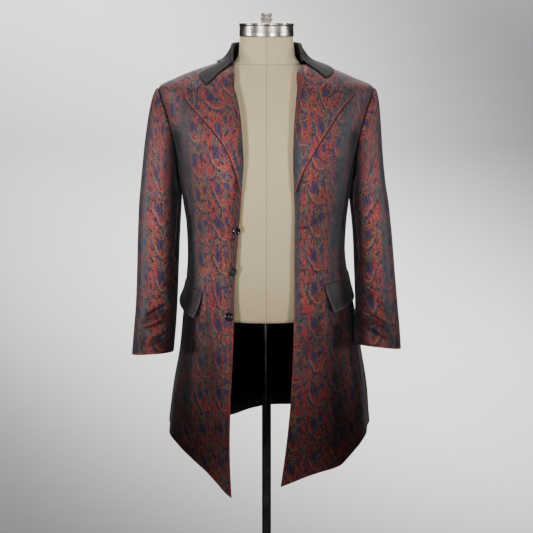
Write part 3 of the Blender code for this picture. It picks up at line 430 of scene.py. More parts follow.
# The seam's gap at the armhole, how the cuff's slant fades upward, and how much closer the cap's
# rows are near the armhole; then the lapels', the collar's and the flaps' own shapes.
ARMHOLE_GAP = 0.0012
CUFF_FADE = 4
CAP_CLOSER = 0.8
CAP_CREASE_FADE = 0.01
BELOW_BICEP = 0.02
LAPEL_LAST_TURN = 75
LAPEL_ROLL_FADE = 0.2
COLLAR_STRAIGHT_FROM = 0.90
COLLAR_REST = 1.6 * CLOTH_WALL
COLLAR_STAND_SHARES = np.linspace(0, 0.95, 12)
COLLAR_FOLD_TURNS = np.linspace(150, 30, 11)
COLLAR_FALL_SHARES = np.linspace(0, 1, 33)
FLAP_CURVE = 1.6

# Buttons, whose holes' walls run between two shares of their radius, then their thread.
BUTTON_LIFT = 0.0018
BUTTON_CORNER = 0.0004
BUTTON_FACE = 0.75 * BUTTON_THICKNESS
BUTTON_FACE_RINGS = 44
BUTTON_RIM = [(0.0, 0.0), (0.78 * BUTTON_RADIUS, 0.0), (BUTTON_RADIUS, 0.35 * BUTTON_THICKNESS),
              (BUTTON_RADIUS, 0.65 * BUTTON_THICKNESS), (0.88 * BUTTON_RADIUS, BUTTON_THICKNESS),
              (0.72 * BUTTON_RADIUS, BUTTON_THICKNESS), (0.58 * BUTTON_RADIUS, BUTTON_FACE)]
BUTTON_HOLE_PITCH = 0.0036
BUTTON_HOLE_RADIUS = 0.0009
BUTTON_HOLE_TOP = 1.15
BUTTON_HOLE_FOOT = 0.80
BUTTON_HOLE_DEPTH = 0.0016
STRAND_APART = 0.00042
STRAND_RADIUS = 0.00026
STRAND_FOOT = -0.0010
STRAND_TOP = 0.0007
SHANK_RADIUS = 0.0017
SHANK_FLARE = 0.0006

# Buttonholes and the purled thread round them.
BUTTONHOLE_LEVELS = (1.262, 1.160, 1.068, 0.970)
BUTTONHOLE_LENGTH = 0.021
BUTTONHOLE_START = 0.012
BUTTONHOLE_HALF = 0.0011
PURL_RADIUS = 0.0008
PURL_SWELL = 0.00012
PURL_STITCHES = 60
PURL_LIFT = 0.0003

# The form's rounded rims, as height and share of its width, and the straight run between them.
FORM_ROWS = 150
FORM_COLUMNS = 160
FORM_TOP = 1.558
FORM_RUN = (0.942, 1.557)
FORM_LOWER_EDGE = [(0.938, 0.5), (0.938, 0.975), (0.9395, 0.992)]
FORM_UPPER_EDGE = [(1.558, 0.985), (1.558, 0.5)]
POLE_END_GAP = 0.0005

# The camera, the paper sweep and the lights.
CAMERA_PLACE = (0.0, -2.2, 1.571)
CAMERA_DIP = 13.5
CAMERA_LENS = 66.37
SWEEP_FRONT = -5.0
SWEEP_TOP = 6.0
SWEEP_HALF = 6.0
SWEEP_START = 0.9
SWEEP_RADIUS = 1.1
# Where the painted light band runs across the sweep, then the paper's painted shade colour away from it
# and its painted light colour along it.
SWEEP_LIGHT = 1.6
SWEEP_DARK = (0.16, 0.163, 0.17)
SWEEP_PALE = (0.72, 0.71, 0.69)
AIR = (0.92, 0.95, 1.0)
AIR_STRENGTH = 0.008
# Name, place, target, size, power, spread in degrees and colour.
LIGHTS = [
    ("front_box_1", (-1.4, -2.9, 1.20), (-0.11, 0.0, 1.32), (0.5, 0.6), 1.85, 25, (1.0, 0.97, 0.97)),
    ("front_box_2", (1.4, -2.9, 1.20), (0.09, 0.0, 1.32), (0.5, 0.6), 1.45, 25, (1.0, 0.97, 0.97)),
    ("top_box", (0.0, -1.7, 3.1), (0.0, -0.1, 1.35), (0.5, 0.4), 0.5, 34, (1.0, 0.99, 0.98)),
    ("side_box_1", (-2.3, -0.50, 1.25), (-0.27, -0.03, 1.28), (0.25, 0.8), 0.6, 17, (0.92, 0.97, 1.0)),
    ("side_box_2", (2.3, -0.50, 1.30), (0.27, -0.03, 1.33), (0.25, 0.8), 0.45, 17, (0.92, 0.97, 1.0)),
    ("stand_box_1", (-1.3, -2.0, 0.25), (0.0, 0.0, 0.28), (0.35, 0.45), 0.35, 12, (1.0, 1.0, 1.0)),
    ("stand_box_2", (1.3, -2.0, 0.25), (0.0, 0.0, 0.28), (0.35, 0.45), 0.35, 12, (1.0, 1.0, 1.0)),
    ("back_box", (0.0, 2.4, 2.2), (0.0, 0.1, 1.15), (2.4, 1.2), 4.5, 50, (0.96, 0.98, 1.0)),
    ("backdrop_box", (0.0, 0.9, 3.6), (0.0, 2.2, 0.9), (3.0, 0.8), 190.0, 110, (1.0, 1.0, 1.0)),
]


# ---------------------------------------------------------------- the coat's body as a surface

def unit(vectors):
    """Vectors made one long."""
    return vectors / (np.linalg.norm(vectors, axis=-1, keepdims=True) + 1e-12)


def ring_reach(angle, squareness):
    """Reach of a unit rounded square: (|cos a|^n + |sin a|^n)^(-1/n)."""
    total = np.abs(np.cos(angle))**squareness + np.abs(np.sin(angle))**squareness
    return total**(-1 / squareness)


def fold_swell(side, angle, height):
    """Skirt folds: each is depth x growth^FOLD_GROWTH from its top to the hem x a bell over the angle."""
    swell = np.zeros(np.broadcast(angle, height).shape)
    for fold_side, centre, width, top, depth in zip(*SKIRT_FOLDS.values()):
        if fold_side == side:
            growth = np.clip((top - height) / (top - HEM_LEVEL), 0, FOLD_LIMIT)**FOLD_GROWTH
            swell += depth * growth * np.exp(-((angle - centre) / width)**2)
    return swell


def crease_swell(creases, side, turn, along, degree):
    """Soft creases: each is depth x a bell across its line x a flat-topped fade along it.

    The fade is exp(-|(share - 0.5) / CREASE_HALF|^CREASE_FADE). Turns become lengths of cloth by
    the size of a degree, and each line bows a little.
    """
    across = turn * degree
    swell = np.zeros(np.broadcast(across, along).shape)
    for crease_side, turn_1, y_1, turn_2, y_2, width, depth in zip(*creases.values()):
        if crease_side != side:
            continue
        x_1, x_2 = turn_1 * degree, turn_2 * degree
        run = np.array([x_2 - x_1, y_2 - y_1])
        length = np.linalg.norm(run)
        share = ((across - x_1) * run[0] + (along - y_1) * run[1]) / length**2
        off = ((across - x_1) * run[1] - (along - y_1) * run[0]) / length
        off = off + CREASE_BOW * length * (share - 0.5)**2
        fade = np.exp(-np.abs((share - 0.5) / CREASE_HALF)**CREASE_FADE)
        swell += depth * np.exp(-(off / width)**2) * fade
    return swell


def coat_body(side, angle, height):
    """Outer face of the body: a rounded square ring at each height, swelled by folds and creases.

    x = (half x reach + swell) x sin a and y = -(depth x reach + swell) x cos a, where a runs in
    degrees from the centre front round to the centre back.
    """
    angle, height = np.broadcast_arrays(np.asarray(angle, float), np.asarray(height, float))
    half = smooth(BODY, "right_half" if side == RIGHT else "left_half", height)
    turn = np.radians(angle)
    forward = np.cos(turn)
    depth = np.where(forward > 0, smooth(BODY, "front", height), smooth(BODY, "back", height))
    reach = ring_reach(turn, smooth(BODY, "squareness", height))
    swell = fold_swell(side, angle, height)
    swell = swell + crease_swell(BODY_CREASES, side, angle, height, DEGREE_ROUND_BODY)
    x = side * (half * reach + swell) * np.sin(turn)
    y = -(depth * reach + swell) * forward
    return np.stack([x, y, height], axis=-1)


def front_body(side, angle, height):
    """The body with the front edge rolled back: y grows by depth x (1 - distance / width)^2."""
    point = coat_body(side, angle, height)
    edge = FRONT_EDGE[side]
    edge_angle = np.interp(height, edge["height"], edge["angle"])
    away = np.radians(angle - edge_angle) * smooth(BODY, "front", height)
    roll = np.clip(1 - away / EDGE_ROLL_WIDTH, 0, EDGE_ROLL_LIMIT)**2
    point[..., 1] += smooth(EDGE_ROLL, "depth", height) * roll
    return point


def surface_normal(surface, side, angle, height):
    """Outward unit normal: the cross product of small steps round and up the surface."""
    turn_step = 0.25
    rise_step = 0.0006
    over = surface(side, angle + turn_step, height) - surface(side, angle - turn_step, height)
    top = np.minimum(height + rise_step, NECK_POINT)
    rise = surface(side, angle, top) - surface(side, angle, top - 2 * rise_step)
    return unit(np.cross(over, rise)) * side


def between(ends, share):
    """Straight from the first end to the second by share."""
    return ends[0] + share * (ends[1] - ends[0])


def line_on(rows, at):
    """Angle and height, at some steps, of a line given by a table."""
    return np.stack([smooth(rows, "angle", at), smooth(rows, "height", at)], axis=-1)


def side_line(step, half_name):
    """Angle and height along the side seam, then up the armhole, by step."""
    turn = 180 * (1 - (step - ARMPIT_STEP) / (1 - ARMPIT_STEP))
    armhole = np.stack([smooth(ARMHOLE, half_name, turn), smooth(ARMHOLE, "height", turn)], axis=-1)
    return np.where((step >= ARMPIT_STEP)[:, None], armhole, line_on(SIDE_SEAM, step))


def patch(first, last, bottom, top, across, up):
    """Coons patch: the rulings between both pairs of border lines, less the corners' own."""
    s, t = across[None, :, None], up[:, None, None]
    sides = (1 - s) * first[:, None] + s * last[:, None]
    ends = (1 - t) * bottom[None] + t * top[None]
    low = (1 - s) * bottom[0] + s * bottom[-1]
    high = (1 - s) * top[0] + s * top[-1]
    return sides + ends - (1 - t) * low - t * high


def front_places(side, across, up):
    """Angles and heights over a front: from its open edge to the side, from hem to shoulder."""
    first = line_on(FRONT_EDGE[side], up)
    first[:, 0] += np.interp(up, FRONT_TUCK["step"], FRONT_TUCK["angle"])
    last = side_line(up, "front_angle")
    hem_angle = between((first[0, 0], last[0, 0]), across)
    bottom = np.stack([hem_angle, smooth(FRONT_HEM[side], "height", hem_angle)], axis=-1)
    top_angle = between((first[-1, 0], 90), np.minimum(1, across / NECK_TURN_SHARE))
    top = np.stack([top_angle, between((NECK_POINT, SHOULDER_TIP), across)], axis=-1)
    return patch(first, last, bottom, top, across, up)


def back_places(side, across, up):
    """Angles and heights over half the back: from the centre to the side, from hem to neck."""
    hem = BACK_HEM[side]
    last = side_line(up, "back_angle")
    rise = (last[:, 1] - last[0, 1]) / (SHOULDER_TIP - last[0, 1])
    centre_height = between((hem["height"][-1], CENTRE_BACK_NECK), rise)
    first = np.stack([np.full(len(up), 180.0), centre_height], axis=-1)
    hem_angle = between((180, last[0, 0]), across)
    bottom = np.stack([hem_angle, smooth(hem, "height", hem_angle)], axis=-1)
    neck = np.clip(across / NECK_SHARE, 0, 1)
    shoulder = np.clip((across - NECK_SHARE) / (1 - NECK_SHARE), 0, 1)
    top_height = between((CENTRE_BACK_NECK, NECK_POINT), neck) + shoulder * (SHOULDER_TIP - NECK_POINT)
    top = np.stack([180 - 90 * neck, top_height], axis=-1)
    return patch(first, last, bottom, top, across, up)


# ---------------------------------------------------------------- walls from grids of points

def off_borders(points):
    """Steps of one off each border of a grid of points; at a corner, the sum of both."""
    off = np.zeros_like(points)
    for border, beside in ((np.s_[:, 0], np.s_[:, 1]), (np.s_[:, -1], np.s_[:, -2]), (0, 1), (-1, -2)):
        off[border] += unit(points[border] - points[beside])
    return off


def draw_in(points):
    """A grid of points with all four borders moved in along the grid."""
    return points - EDGE_INSET * off_borders(points)


def quads_over(index):
    """Faces between the neighbours in a grid of point numbers."""
    corners = [index[:-1, :-1], index[:-1, 1:], index[1:, 1:], index[1:, :-1]]
    return np.stack(corners, axis=-1).reshape(-1, 4)


def closed(rings):
    """Rings of point numbers with each first number once more at its end."""
    return np.pad(rings, ((0, 0), (0, 1)), mode="wrap")


def rim_loop(grid):
    """Border of a grid of numbers, once round."""
    return np.concatenate([grid[0, :-1], grid[:-1, -1], grid[-1, :0:-1], grid[:0:-1, 0]])


def run_along(points, axis):
    """Length of cloth from the first border of a grid, up its columns (axis 0) or along its rows (1)."""
    steps = np.linalg.norm(np.diff(points, axis=axis), axis=-1)
    start = np.zeros_like(np.take(steps, [0], axis))
    return np.concatenate([start, np.cumsum(steps, axis=axis)], axis=axis)


def from_edge(points, finished):
    """Distance over the cloth to the nearest finished border of a grid, along its rows or columns."""
    over, up = run_along(points, 1), run_along(points, 0)
    ways = {"first": over, "last": over[:, -1:] - over, "bottom": up, "top": up[-1:] - up}
    return np.min([ways[border] for border in finished], axis=0)


def over_wall(values, loop, rims):
    """Values of a grid's points given to both faces of a wall and to each line of its rim."""
    return np.concatenate([values, values] + [values[loop]] * rims)


def cloth_wall(name, outer, inner, cloth, finished, finishes):
    """A closed wall between two grids of points, drawn in by the stitching, with a half round rim.

    Rim points are middle + half wall x cos a + half thickness x sin a x the way off the border.
    The outer face, the inner face and the rim take one finish each.
    """
    outer, inner = draw_in(outer), draw_in(inner)
    index = np.arange(outer[..., 0].size).reshape(outer.shape[:2])
    quads, loop = quads_over(index), rim_loop(index)
    flat_outer, flat_inner = outer.reshape(-1, 3), inner.reshape(-1, 3)
    middle = (flat_outer + flat_inner)[loop] / 2
    half = (flat_outer - flat_inner)[loop] / 2
    off = unit(off_borders(outer)).reshape(-1, 3)[loop] * np.linalg.norm(half, axis=-1, keepdims=True)
    rims = [middle + half * np.cos(a) + off * np.sin(a) for a in np.radians(RIM_TURNS)]
    rim_index = 2 * index.size + np.arange(len(rims) * len(loop)).reshape(len(rims), len(loop))
    strips = quads_over(closed(np.concatenate([[loop + index.size], rim_index[::-1], [loop]])))
    points = np.concatenate([flat_outer, flat_inner] + rims)
    faces = np.concatenate([quads, quads[:, ::-1] + index.size, strips])
    slots = np.repeat(np.arange(3, dtype=np.int32), [len(quads), len(quads), len(strips)])
    edge = over_wall(from_edge(outer, finished).ravel(), loop, len(rims))
    cloth = over_wall(cloth.reshape(-1, 2), loop, len(rims))
    # The grey mark is painted sheen and the dark mark is painted shade, from bands at fixed places.
    marks = {"edge": edge, "grey": painted_sheen_and_shade(points, "grey"), "dark": painted_sheen_and_shade(points, "dark")}
    return make_piece("coat_" + name, points, faces, finishes, cloth=cloth, slots=slots, marks=marks)


def painted_sheen_and_shade(points, kind):
    """How much painted sheen grey or painted shade dark the cloth gets: the most of all bands, each
    amount x exp(-(away/width)^2).

    Away is the distance, seen from the front, from the straight line of a band; the back has none.
    """
    seen = points[:, [0, 2]]
    total = np.zeros(len(points))
    for side, across_1, height_1, across_2, height_2, width, grey, dark in zip(*SHEEN_AND_SHADE_BANDS.values()):
        start = np.array([side * across_1, height_1])
        along = np.array([side * across_2, height_2]) - start
        share = np.clip((seen - start) @ along / (along @ along), 0, 1)
        away = np.linalg.norm(seen - start - share[:, None] * along, axis=1)
        amount = grey if kind == "grey" else dark
        total = np.maximum(total, amount * np.exp(-(away / width)**2))
    return total * np.clip(-points[:, 1] / PAINTED_BANDS_FADE, 0, 1)


def fan_volume(points, faces):
    """Six times the volume between the origin and a set of faces, as fans about their first corners."""
    first = points[faces[:, 0]]
    corners = [points[faces[:, k]] for k in range(1, faces.shape[1])]
    return sum(float(np.sum(first * np.cross(b, c))) for b, c in zip(corners, corners[1:]))


def make_piece(name, points, quads, finishes, fans=None, cloth=None, slots=None, marks=None):
    """One object at the origin from whole arrays of points and faces, turned to face outward."""
    fans = np.zeros((0, 3), dtype=int) if fans is None else fans
    if fan_volume(points, quads) + fan_volume(points, fans) < 0:
        quads, fans = quads[:, ::-1], fans[:, ::-1]
    corners = np.concatenate([quads.ravel(), fans.ravel()]).astype(np.int32)
    sizes = np.repeat(np.array([4, 3], dtype=np.int32), [len(quads), len(fans)])
    starts = (np.cumsum(sizes) - sizes).astype(np.int32)
    mesh = bpy.data.meshes.new(name)
    mesh.vertices.add(len(points))
    mesh.vertices.foreach_set("co", points.astype(np.float32).ravel())
    mesh.loops.add(len(corners))
    mesh.loops.foreach_set("vertex_index", corners)
    mesh.polygons.add(len(sizes))
    mesh.polygons.foreach_set("loop_start", starts)
    mesh.polygons.foreach_set("loop_total", sizes)
    mesh.update(calc_edges=True)
    for finish in finishes:
        mesh.materials.append(finish)
    if slots is not None:
        mesh.polygons.foreach_set("material_index", slots)
    if cloth is not None:
        layer = mesh.uv_layers.new(name="cloth")
        layer.data.foreach_set("uv", cloth[corners].astype(np.float32).ravel())
    for mark, values in (marks or {}).items():
        attribute = mesh.attributes.new(mark, "FLOAT", "POINT")
        attribute.data.foreach_set("value", values.astype(np.float32))
    mesh.shade_smooth()
    piece = bpy.data.objects.new(name, mesh)
    bpy.context.collection.objects.link(piece)
    return piece


def cloth_map(points, start_across, level_row, level_height):
    """Cloth coordinates in metres: lengths run along the rows, and up and down the columns."""
    up = run_along(points, 0)
    return np.stack([start_across + run_along(points, 1), up - up[level_row] + level_height], axis=-1)


def panel_cloth(outer, start_across):
    """Cloth coordinates of a body panel, level at the waist along its first border."""
    waist_row = int(np.argmin(np.abs(outer[:, 0, 2] - WAIST_LEVEL)))
    return cloth_map(outer, start_across, waist_row, WAIST_LEVEL)


def cut_size(points):
    """Width, length and area of the cloth that a grid of points covers."""
    over, up = run_along(points, 1)[:, -1].max(), run_along(points, 0)[-1].max()
    twice = np.cross(points[1:, 1:] - points[:-1, :-1], points[:-1, 1:] - points[1:, :-1])
    return float(over), float(up), float(np.linalg.norm(twice, axis=-1).sum() / 2)


def declare(piece, points, node):
    """Hang a cloth piece on the root and hide the part it stands for; its cut size is worked out, but
    nothing uses it.
    """
    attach(piece, "root")
    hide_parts(node)
    width, length, area = cut_size(points)
    width = max(width, area / length)


# ---------------------------------------------------------------- cloth pieces

def even(count):
    """Even steps from 0 to 1."""
    return np.linspace(0, 1, count + 1)


def close_to_edge(count):
    """Steps from 0 to 1 that are closer together near 0, where an edge rolls: share^1.15."""
    return even(count)**1.15


def body_rows():
    """Rows of a body panel, the level ones first and then the fanned ones up the armhole."""
    level_rows, fanned_rows = BODY_ROWS
    below = np.linspace(0, ARMPIT_STEP, level_rows + 1)
    above = np.linspace(ARMPIT_STEP, 1, fanned_rows + 1)
    return np.concatenate([below, above[1:]])


def panel_faces(surface, side, places):
    """Outer and inner face of a body panel, at its angles and heights on a surface."""
    outer = surface(side, places[..., 0], places[..., 1])
    return outer, outer - CLOTH_WALL * surface_normal(surface, side, places[..., 0], places[..., 1])


def add_front(side):
    """One front from its open edge to the side seam; its cloth runs straight down the grain."""
    places = front_places(side, close_to_edge(FRONT_COLUMNS), body_rows())
    outer, inner = panel_faces(front_body, side, places)
    cloth = panel_cloth(outer, side * outer[:, :1, 0])
    cloth[..., 0] *= side
    name = "front_" + SIDE_NAMES[side]
    piece = cloth_wall(name, outer, inner, cloth, ("first", "bottom"), COAT_CLOTH)
    fittings = add_buttons() if side == RIGHT else add_buttonholes()
    declare(piece, outer, name)


def add_back(side):
    """Half the back from the centre seam to the side seam."""
    outer, inner = panel_faces(coat_body, side, back_places(side, even(BACK_COLUMNS), body_rows()))
    name = "back_" + SIDE_NAMES[side]
    piece = cloth_wall(name, outer, inner, panel_cloth(outer, BACK_START), ("bottom",), COAT_CLOTH)
    declare(piece, outer, name)


def sleeve_ring(side, height, turn):
    """Level ring of the sleeve: half width x reach x cos a and half depth x reach x sin a, swelled.

    The turn is 0 outward, 90 forward and 180 toward the body; creases move the ring outward.
    """
    rows = SLEEVE[side]
    outer = smooth(rows, "outer", height)
    inner = smooth(rows, "inner", height)
    angle = np.radians(turn)
    reach = ring_reach(angle, SLEEVE_SQUARENESS)
    swell = crease_swell(SLEEVE_CREASES, side, turn, height, DEGREE_ROUND_SLEEVE)
    x = side * ((outer + inner) / 2 + ((outer - inner) / 2 * reach + swell) * np.cos(angle))
    depth = smooth(rows, "half_depth", height) * reach + swell
    y = smooth(rows, "centre_y", height) - depth * np.sin(angle)
    return np.stack(np.broadcast_arrays(x, y, height), axis=-1)


def armhole_line(side, turn):
    """The armhole seam by turn, parted from the body by the seam."""
    from_tip = np.minimum(turn, 360 - turn)
    front = smooth(ARMHOLE, "front_angle", from_tip)
    back = smooth(ARMHOLE, "back_angle", from_tip)
    height = smooth(ARMHOLE, "height", from_tip)
    point = coat_body(side, np.where(turn <= 180, front, back), height)
    point[..., 0] += side * ARMHOLE_GAP
    return point


def sleeve_cap(side, share, turn):
    """Sleeve from the bicep (share 0) to the armhole (share 1): a cubic Bezier at every turn.

    point = (1-t)^3 end + 3 (1-t)^2 t arrive + 3 (1-t) t^2 leave + t^3 start.
    """
    start = armhole_line(side, turn)
    end = sleeve_ring(side, np.full(turn.shape, BICEP_LEVEL), turn)
    below = sleeve_ring(side, np.full(turn.shape, BICEP_LEVEL - BELOW_BICEP), turn)
    length = np.linalg.norm(start - end, axis=-1, keepdims=True)
    angle = np.radians(turn)
    top = (1 + np.cos(angle)) / 2
    outward = [side * between(CAP_OUT, top), -CAP_SWELL * np.sin(angle), -CAP_DROP * (1 - top)]
    outward, top, t = unit(np.stack(outward, axis=-1)), top[..., None], share[..., None]
    lean = np.array([-side * CAP_LEAN[side], 0.0, 0.0]) * top
    leave = start + outward * length * between(CAP_LEAVE, top)
    arrive = end + unit(unit(end - below) + lean) * length * CAP_ARRIVE
    return (1 - t)**3 * end + 3 * (1 - t)**2 * t * arrive + 3 * (1 - t) * t**2 * leave + t**3 * start


def sleeve_points(side):
    """Grid of a sleeve's outer face from cuff to armhole, and round it by turn."""
    turn = np.linspace(0, 360, SLEEVE_COLUMNS + 1)[None]
    levels = np.linspace(SLEEVE[side]["height"][0], BICEP_LEVEL, SLEEVE_ROWS + 1)[:, None]
    lower = sleeve_ring(side, levels, turn)
    near_cuff = ((levels[-1] - levels) / (levels[-1] - levels[0]))**CUFF_FADE
    angle = np.radians(turn)
    lower[..., 2] += near_cuff * (CUFF_TILT * np.sin(angle) - CUFF_SLANT[side] * np.cos(angle))
    share = even(CAP_ROWS)[1:, None]**CAP_CLOSER
    upper = sleeve_cap(side, *np.broadcast_arrays(share, turn))
    grid = np.concatenate([lower, upper])
    return grid + cap_swell(side, grid, turn)


def cap_swell(side, grid, turn):
    """Creases of the cap, which move its points outward from the sleeve's middle line."""
    swell = crease_swell(SLEEVE_CREASES, side, turn, grid[..., 2], DEGREE_ROUND_SLEEVE)
    above = np.clip((grid[..., 2] - BICEP_LEVEL) / CAP_CREASE_FADE, 0, 1)
    level_out = unit((grid - grid[:, :-1].mean(axis=1, keepdims=True)) * np.array([1.0, 1.0, 0.0]))
    return (swell * above)[..., None] * level_out


def tube_normals(points, centre_line):
    """Outward unit normals of a tube whose first and last columns are the same line."""
    wrapped = np.concatenate([points[:, -2:-1], points, points[:, 1:2]], axis=1)
    over = wrapped[:, 2:] - wrapped[:, :-2]
    rise = np.gradient(points, axis=0)
    normal = unit(np.cross(over, rise))
    out = np.sum(normal * (points - centre_line[:, None]), axis=-1).mean()
    return normal * np.sign(out)


def add_sleeve(side):
    """The upper and under pieces of one sleeve."""
    outer = sleeve_points(side)
    inner = outer - CLOTH_WALL * tube_normals(outer, outer[:, :-1].mean(axis=1))
    front, back = (SLEEVE_COLUMNS * turn // 360 for turn in (FRONT_SEAM_TURN, BACK_SEAM_TURN))
    over = [*range(back, SLEEVE_COLUMNS), *range(front + 1)]
    under = [*range(front, back + 1)]
    for part_name, columns in (("upper", over), ("under", under)):
        face = outer[:, columns]
        cloth = cloth_map(face, SLEEVE_START, 0, SLEEVE_LEVEL)
        name = f"sleeve_{part_name}_{SIDE_NAMES[side]}"
        piece = cloth_wall(name, face, inner[:, columns], cloth, ("bottom",), COAT_CLOTH)
        declare(piece, face, name)


def lapel_places(side, across, up):
    """Angles and heights over a lapel: from the roll line to its edge, from break to gorge."""
    first = line_on(FRONT_EDGE[side], between((LAPEL_BREAK_STEP, LAPEL_TOP_STEP), up))
    first[:, 0] += np.interp(up, LAPEL_FOLD["up"], LAPEL_FOLD["inset"])
    last = line_on(LAPEL_EDGE[side], up)
    gorge = GORGE[side]
    top = np.stack([np.interp(across, gorge["share"], gorge[name]) for name in ("angle", "height")], -1)
    top += (1 - across[:, None]) * (first[-1] - top[0])
    bottom = between((first[0], last[0]), across[:, None])
    return patch(first, last, bottom, top, across, up)


def lapel_wrap(base, normal, up):
    """Faces of a lapel round the front's own edge: a part circle, opening from nothing at the break."""
    edge_run = unit(np.gradient(base[:, 0], axis=0))
    beyond = base[:, 0] - base[:, 1]
    beyond = unit(beyond - np.sum(beyond * edge_run, axis=-1, keepdims=True) * edge_run)
    first_turn = np.interp(up, LAPEL_FOLD["up"], LAPEL_FOLD["first_turn"])[:, None]
    turn = np.radians(between((first_turn, LAPEL_LAST_TURN), even(LAPEL_WRAP_COLUMNS)))[..., None]
    spoke = np.cos(turn) * beyond[:, None] + np.sin(turn) * normal[:, :1]
    centre = base[:, :1] - normal[:, :1] * CLOTH_WALL / 2
    radius = CLOTH_WALL / 2 + LAPEL_EDGE_CLEARANCE
    return centre + (radius + CLOTH_WALL) * spoke, centre + radius * spoke


def add_lapel(side):
    """One lapel, which starts wrapped round the front's own edge and turns back over the front.

    Past the wrap it is the front moved out by gap + (rest - gap) x share + roll x sin^2(pi x share).
    """
    across, up = close_to_edge(LAPEL_COLUMNS), even(LAPEL_ROWS)
    places = lapel_places(side, across, up)
    base = front_body(side, places[..., 0], places[..., 1])
    normal = surface_normal(front_body, side, places[..., 0], places[..., 1])
    rolled = np.clip(across / LAPEL_ROLL_WIDTH, 0, 1)[None, :, None]
    growth = np.clip(np.minimum(up, 1 - up) / LAPEL_ROLL_FADE, 0, 1)[:, None, None]
    lift = between((PILE_GAP, LAPEL_LIFT), rolled)
    lift = lift + LAPEL_ROLL_LIFT * growth * np.sin(np.pi * rolled)**2
    wrap_outer, wrap_inner = lapel_wrap(base, normal, up)
    outer = np.concatenate([wrap_outer, base + normal * (lift + CLOTH_WALL)], axis=1)
    inner = np.concatenate([wrap_inner, base + normal * lift], axis=1)
    cloth = cloth_map(outer, LAPEL_START, 0, LAPEL_LEVEL)
    cloth[..., 0] *= side
    name = "lapel_" + SIDE_NAMES[side]
    piece = cloth_wall(name, outer, inner, cloth, ("last",), LAPEL_CLOTH)
    declare(piece, outer, name)


def collar_line(turn, name, straight_from=2.0):
    """One column of the collar's table by turn: smooth round the neck, straight near its ends."""
    away = np.abs(turn)
    lines = {}
    for side in (RIGHT, LEFT):
        ends = COLLAR_ENDS[side]
        rows = {column: np.concatenate([COLLAR[column], ends[column]]) for column in ("turn", name)}
        straight = np.interp(away, rows["turn"], rows[name])
        lines[side] = np.where(away > straight_from, straight, smooth(rows, name, away))
    return np.where(turn < 0, lines[RIGHT], lines[LEFT])


def collar_middle(turn):
    """Middle of the collar's wall by turn -1 to 1: a straight stand, a half circle over the fold,
    and a fall that settles on the body: body + (1 - share)^settle x its height above the body."""
    flip = np.stack([np.where(turn < 0, -1.0, 1.0), np.ones(len(turn)), np.ones(len(turn))], axis=-1)
    seat = [collar_line(turn, name) for name in ("seat_angle", "seat_height")]
    edge = [collar_line(turn, name, COLLAR_STRAIGHT_FROM) for name in ("edge_angle", "edge_height")]
    fold = [collar_line(turn, name) for name in ("fold_x", "fold_y", "fold_height")]
    fold = np.stack(fold, axis=-1) * flip
    foot = coat_body(LEFT, *seat) * flip
    level_out = unit(foot * np.array([1.0, 1.0, 0.0]))
    up = np.array([0.0, 0.0, 1.0])
    stand_foot = foot + up * COLLAR_SEAT_LIFT - level_out * COLLAR_FOLD_RADIUS
    stand_top = fold - level_out * COLLAR_FOLD_RADIUS
    stand = between((stand_foot[:, None], stand_top[:, None]), COLLAR_STAND_SHARES[:, None])
    bend = np.radians(COLLAR_FOLD_TURNS)[:, None]
    over = fold[:, None] + COLLAR_FOLD_RADIUS * (np.cos(bend) * level_out[:, None] + np.sin(bend) * up)
    fall = [between((low[:, None], high[:, None]), COLLAR_FALL_SHARES) for low, high in zip(seat, edge)]
    normal = surface_normal(coat_body, LEFT, *fall) * flip[:, None]
    resting = coat_body(LEFT, *fall) * flip[:, None] + normal * COLLAR_REST
    lift = fold + level_out * COLLAR_FOLD_RADIUS - resting[:, 0]
    falling = resting + (1 - COLLAR_FALL_SHARES[:, None])**COLLAR_SETTLE * lift[:, None]
    return np.concatenate([stand, over, falling], axis=1)


def add_collar():
    """The collar: one wall, standing round the neck and folded down over the shoulders."""
    turn = np.concatenate([-even(COLLAR_ROWS)[:0:-1], even(COLLAR_ROWS)])
    middle = collar_middle(turn)
    normal = unit(np.cross(np.gradient(middle, axis=0), np.gradient(middle, axis=1)))
    outer, inner = middle + normal * CLOTH_WALL / 2, middle - normal * CLOTH_WALL / 2
    cloth = cloth_map(outer, 0.0, COLLAR_ROWS, 0.0)
    piece = cloth_wall("collar", outer, inner, cloth, ("last", "bottom", "top"), COLLAR_CLOTHS)
    declare(piece, outer, "collar")


def add_flap(side):
    """One pocket flap, which hangs out from its top seam: stand-out x share^FLAP_CURVE, going down."""
    sizes = FLAP[side]
    s, t = even(FLAP_COLUMNS)[None], even(FLAP_ROWS)[:, None]
    angle = between((between(sizes["top"], s), between(sizes["bottom"], s)), t)
    height = between((sizes["height"], between(sizes["hang"], s)), t)
    base = front_body(side, angle, height)
    normal = surface_normal(front_body, side, angle, height)
    flare = (PILE_GAP + between(sizes["flare"], s) * t**FLAP_CURVE)[..., None]
    outer, inner = base + normal * (flare + CLOTH_WALL), base + normal * flare
    cloth = cloth_map(outer, np.abs(outer[:, :1, 0]), 0, -FLAP_LEVEL)
    cloth[..., 1] *= -1
    name = "pocket_flap_" + SIDE_NAMES[side]
    piece = cloth_wall(name, outer, inner, cloth, ("first", "last", "top"), FLAP_CLOTH)
    declare(piece, outer, name)


# ---------------------------------------------------------------- thread, buttons and buttonholes

def tube(path, radius, normal, sides, loop=False):
    """A tube along a path: path + radius x (normal x cos a + binormal x sin a).

    It closes on itself as a loop, or else ends in two poles.
    """
    ahead = np.roll(path, -1, axis=0) - np.roll(path, 1, axis=0) if loop else np.gradient(path, axis=0)
    run = unit(ahead)
    first = unit(normal - np.sum(normal * run, axis=-1, keepdims=True) * run)
    angle = (np.arange(sides) * 2 * np.pi / sides)[:, None]
    spokes = np.cos(angle) * first[:, None] + np.sin(angle) * np.cross(run, first)[:, None]
    grid = path[:, None] + np.broadcast_to(radius, len(path))[:, None, None] * spokes
    return looped(grid) if loop else ringed(grid, path[0], path[-1])


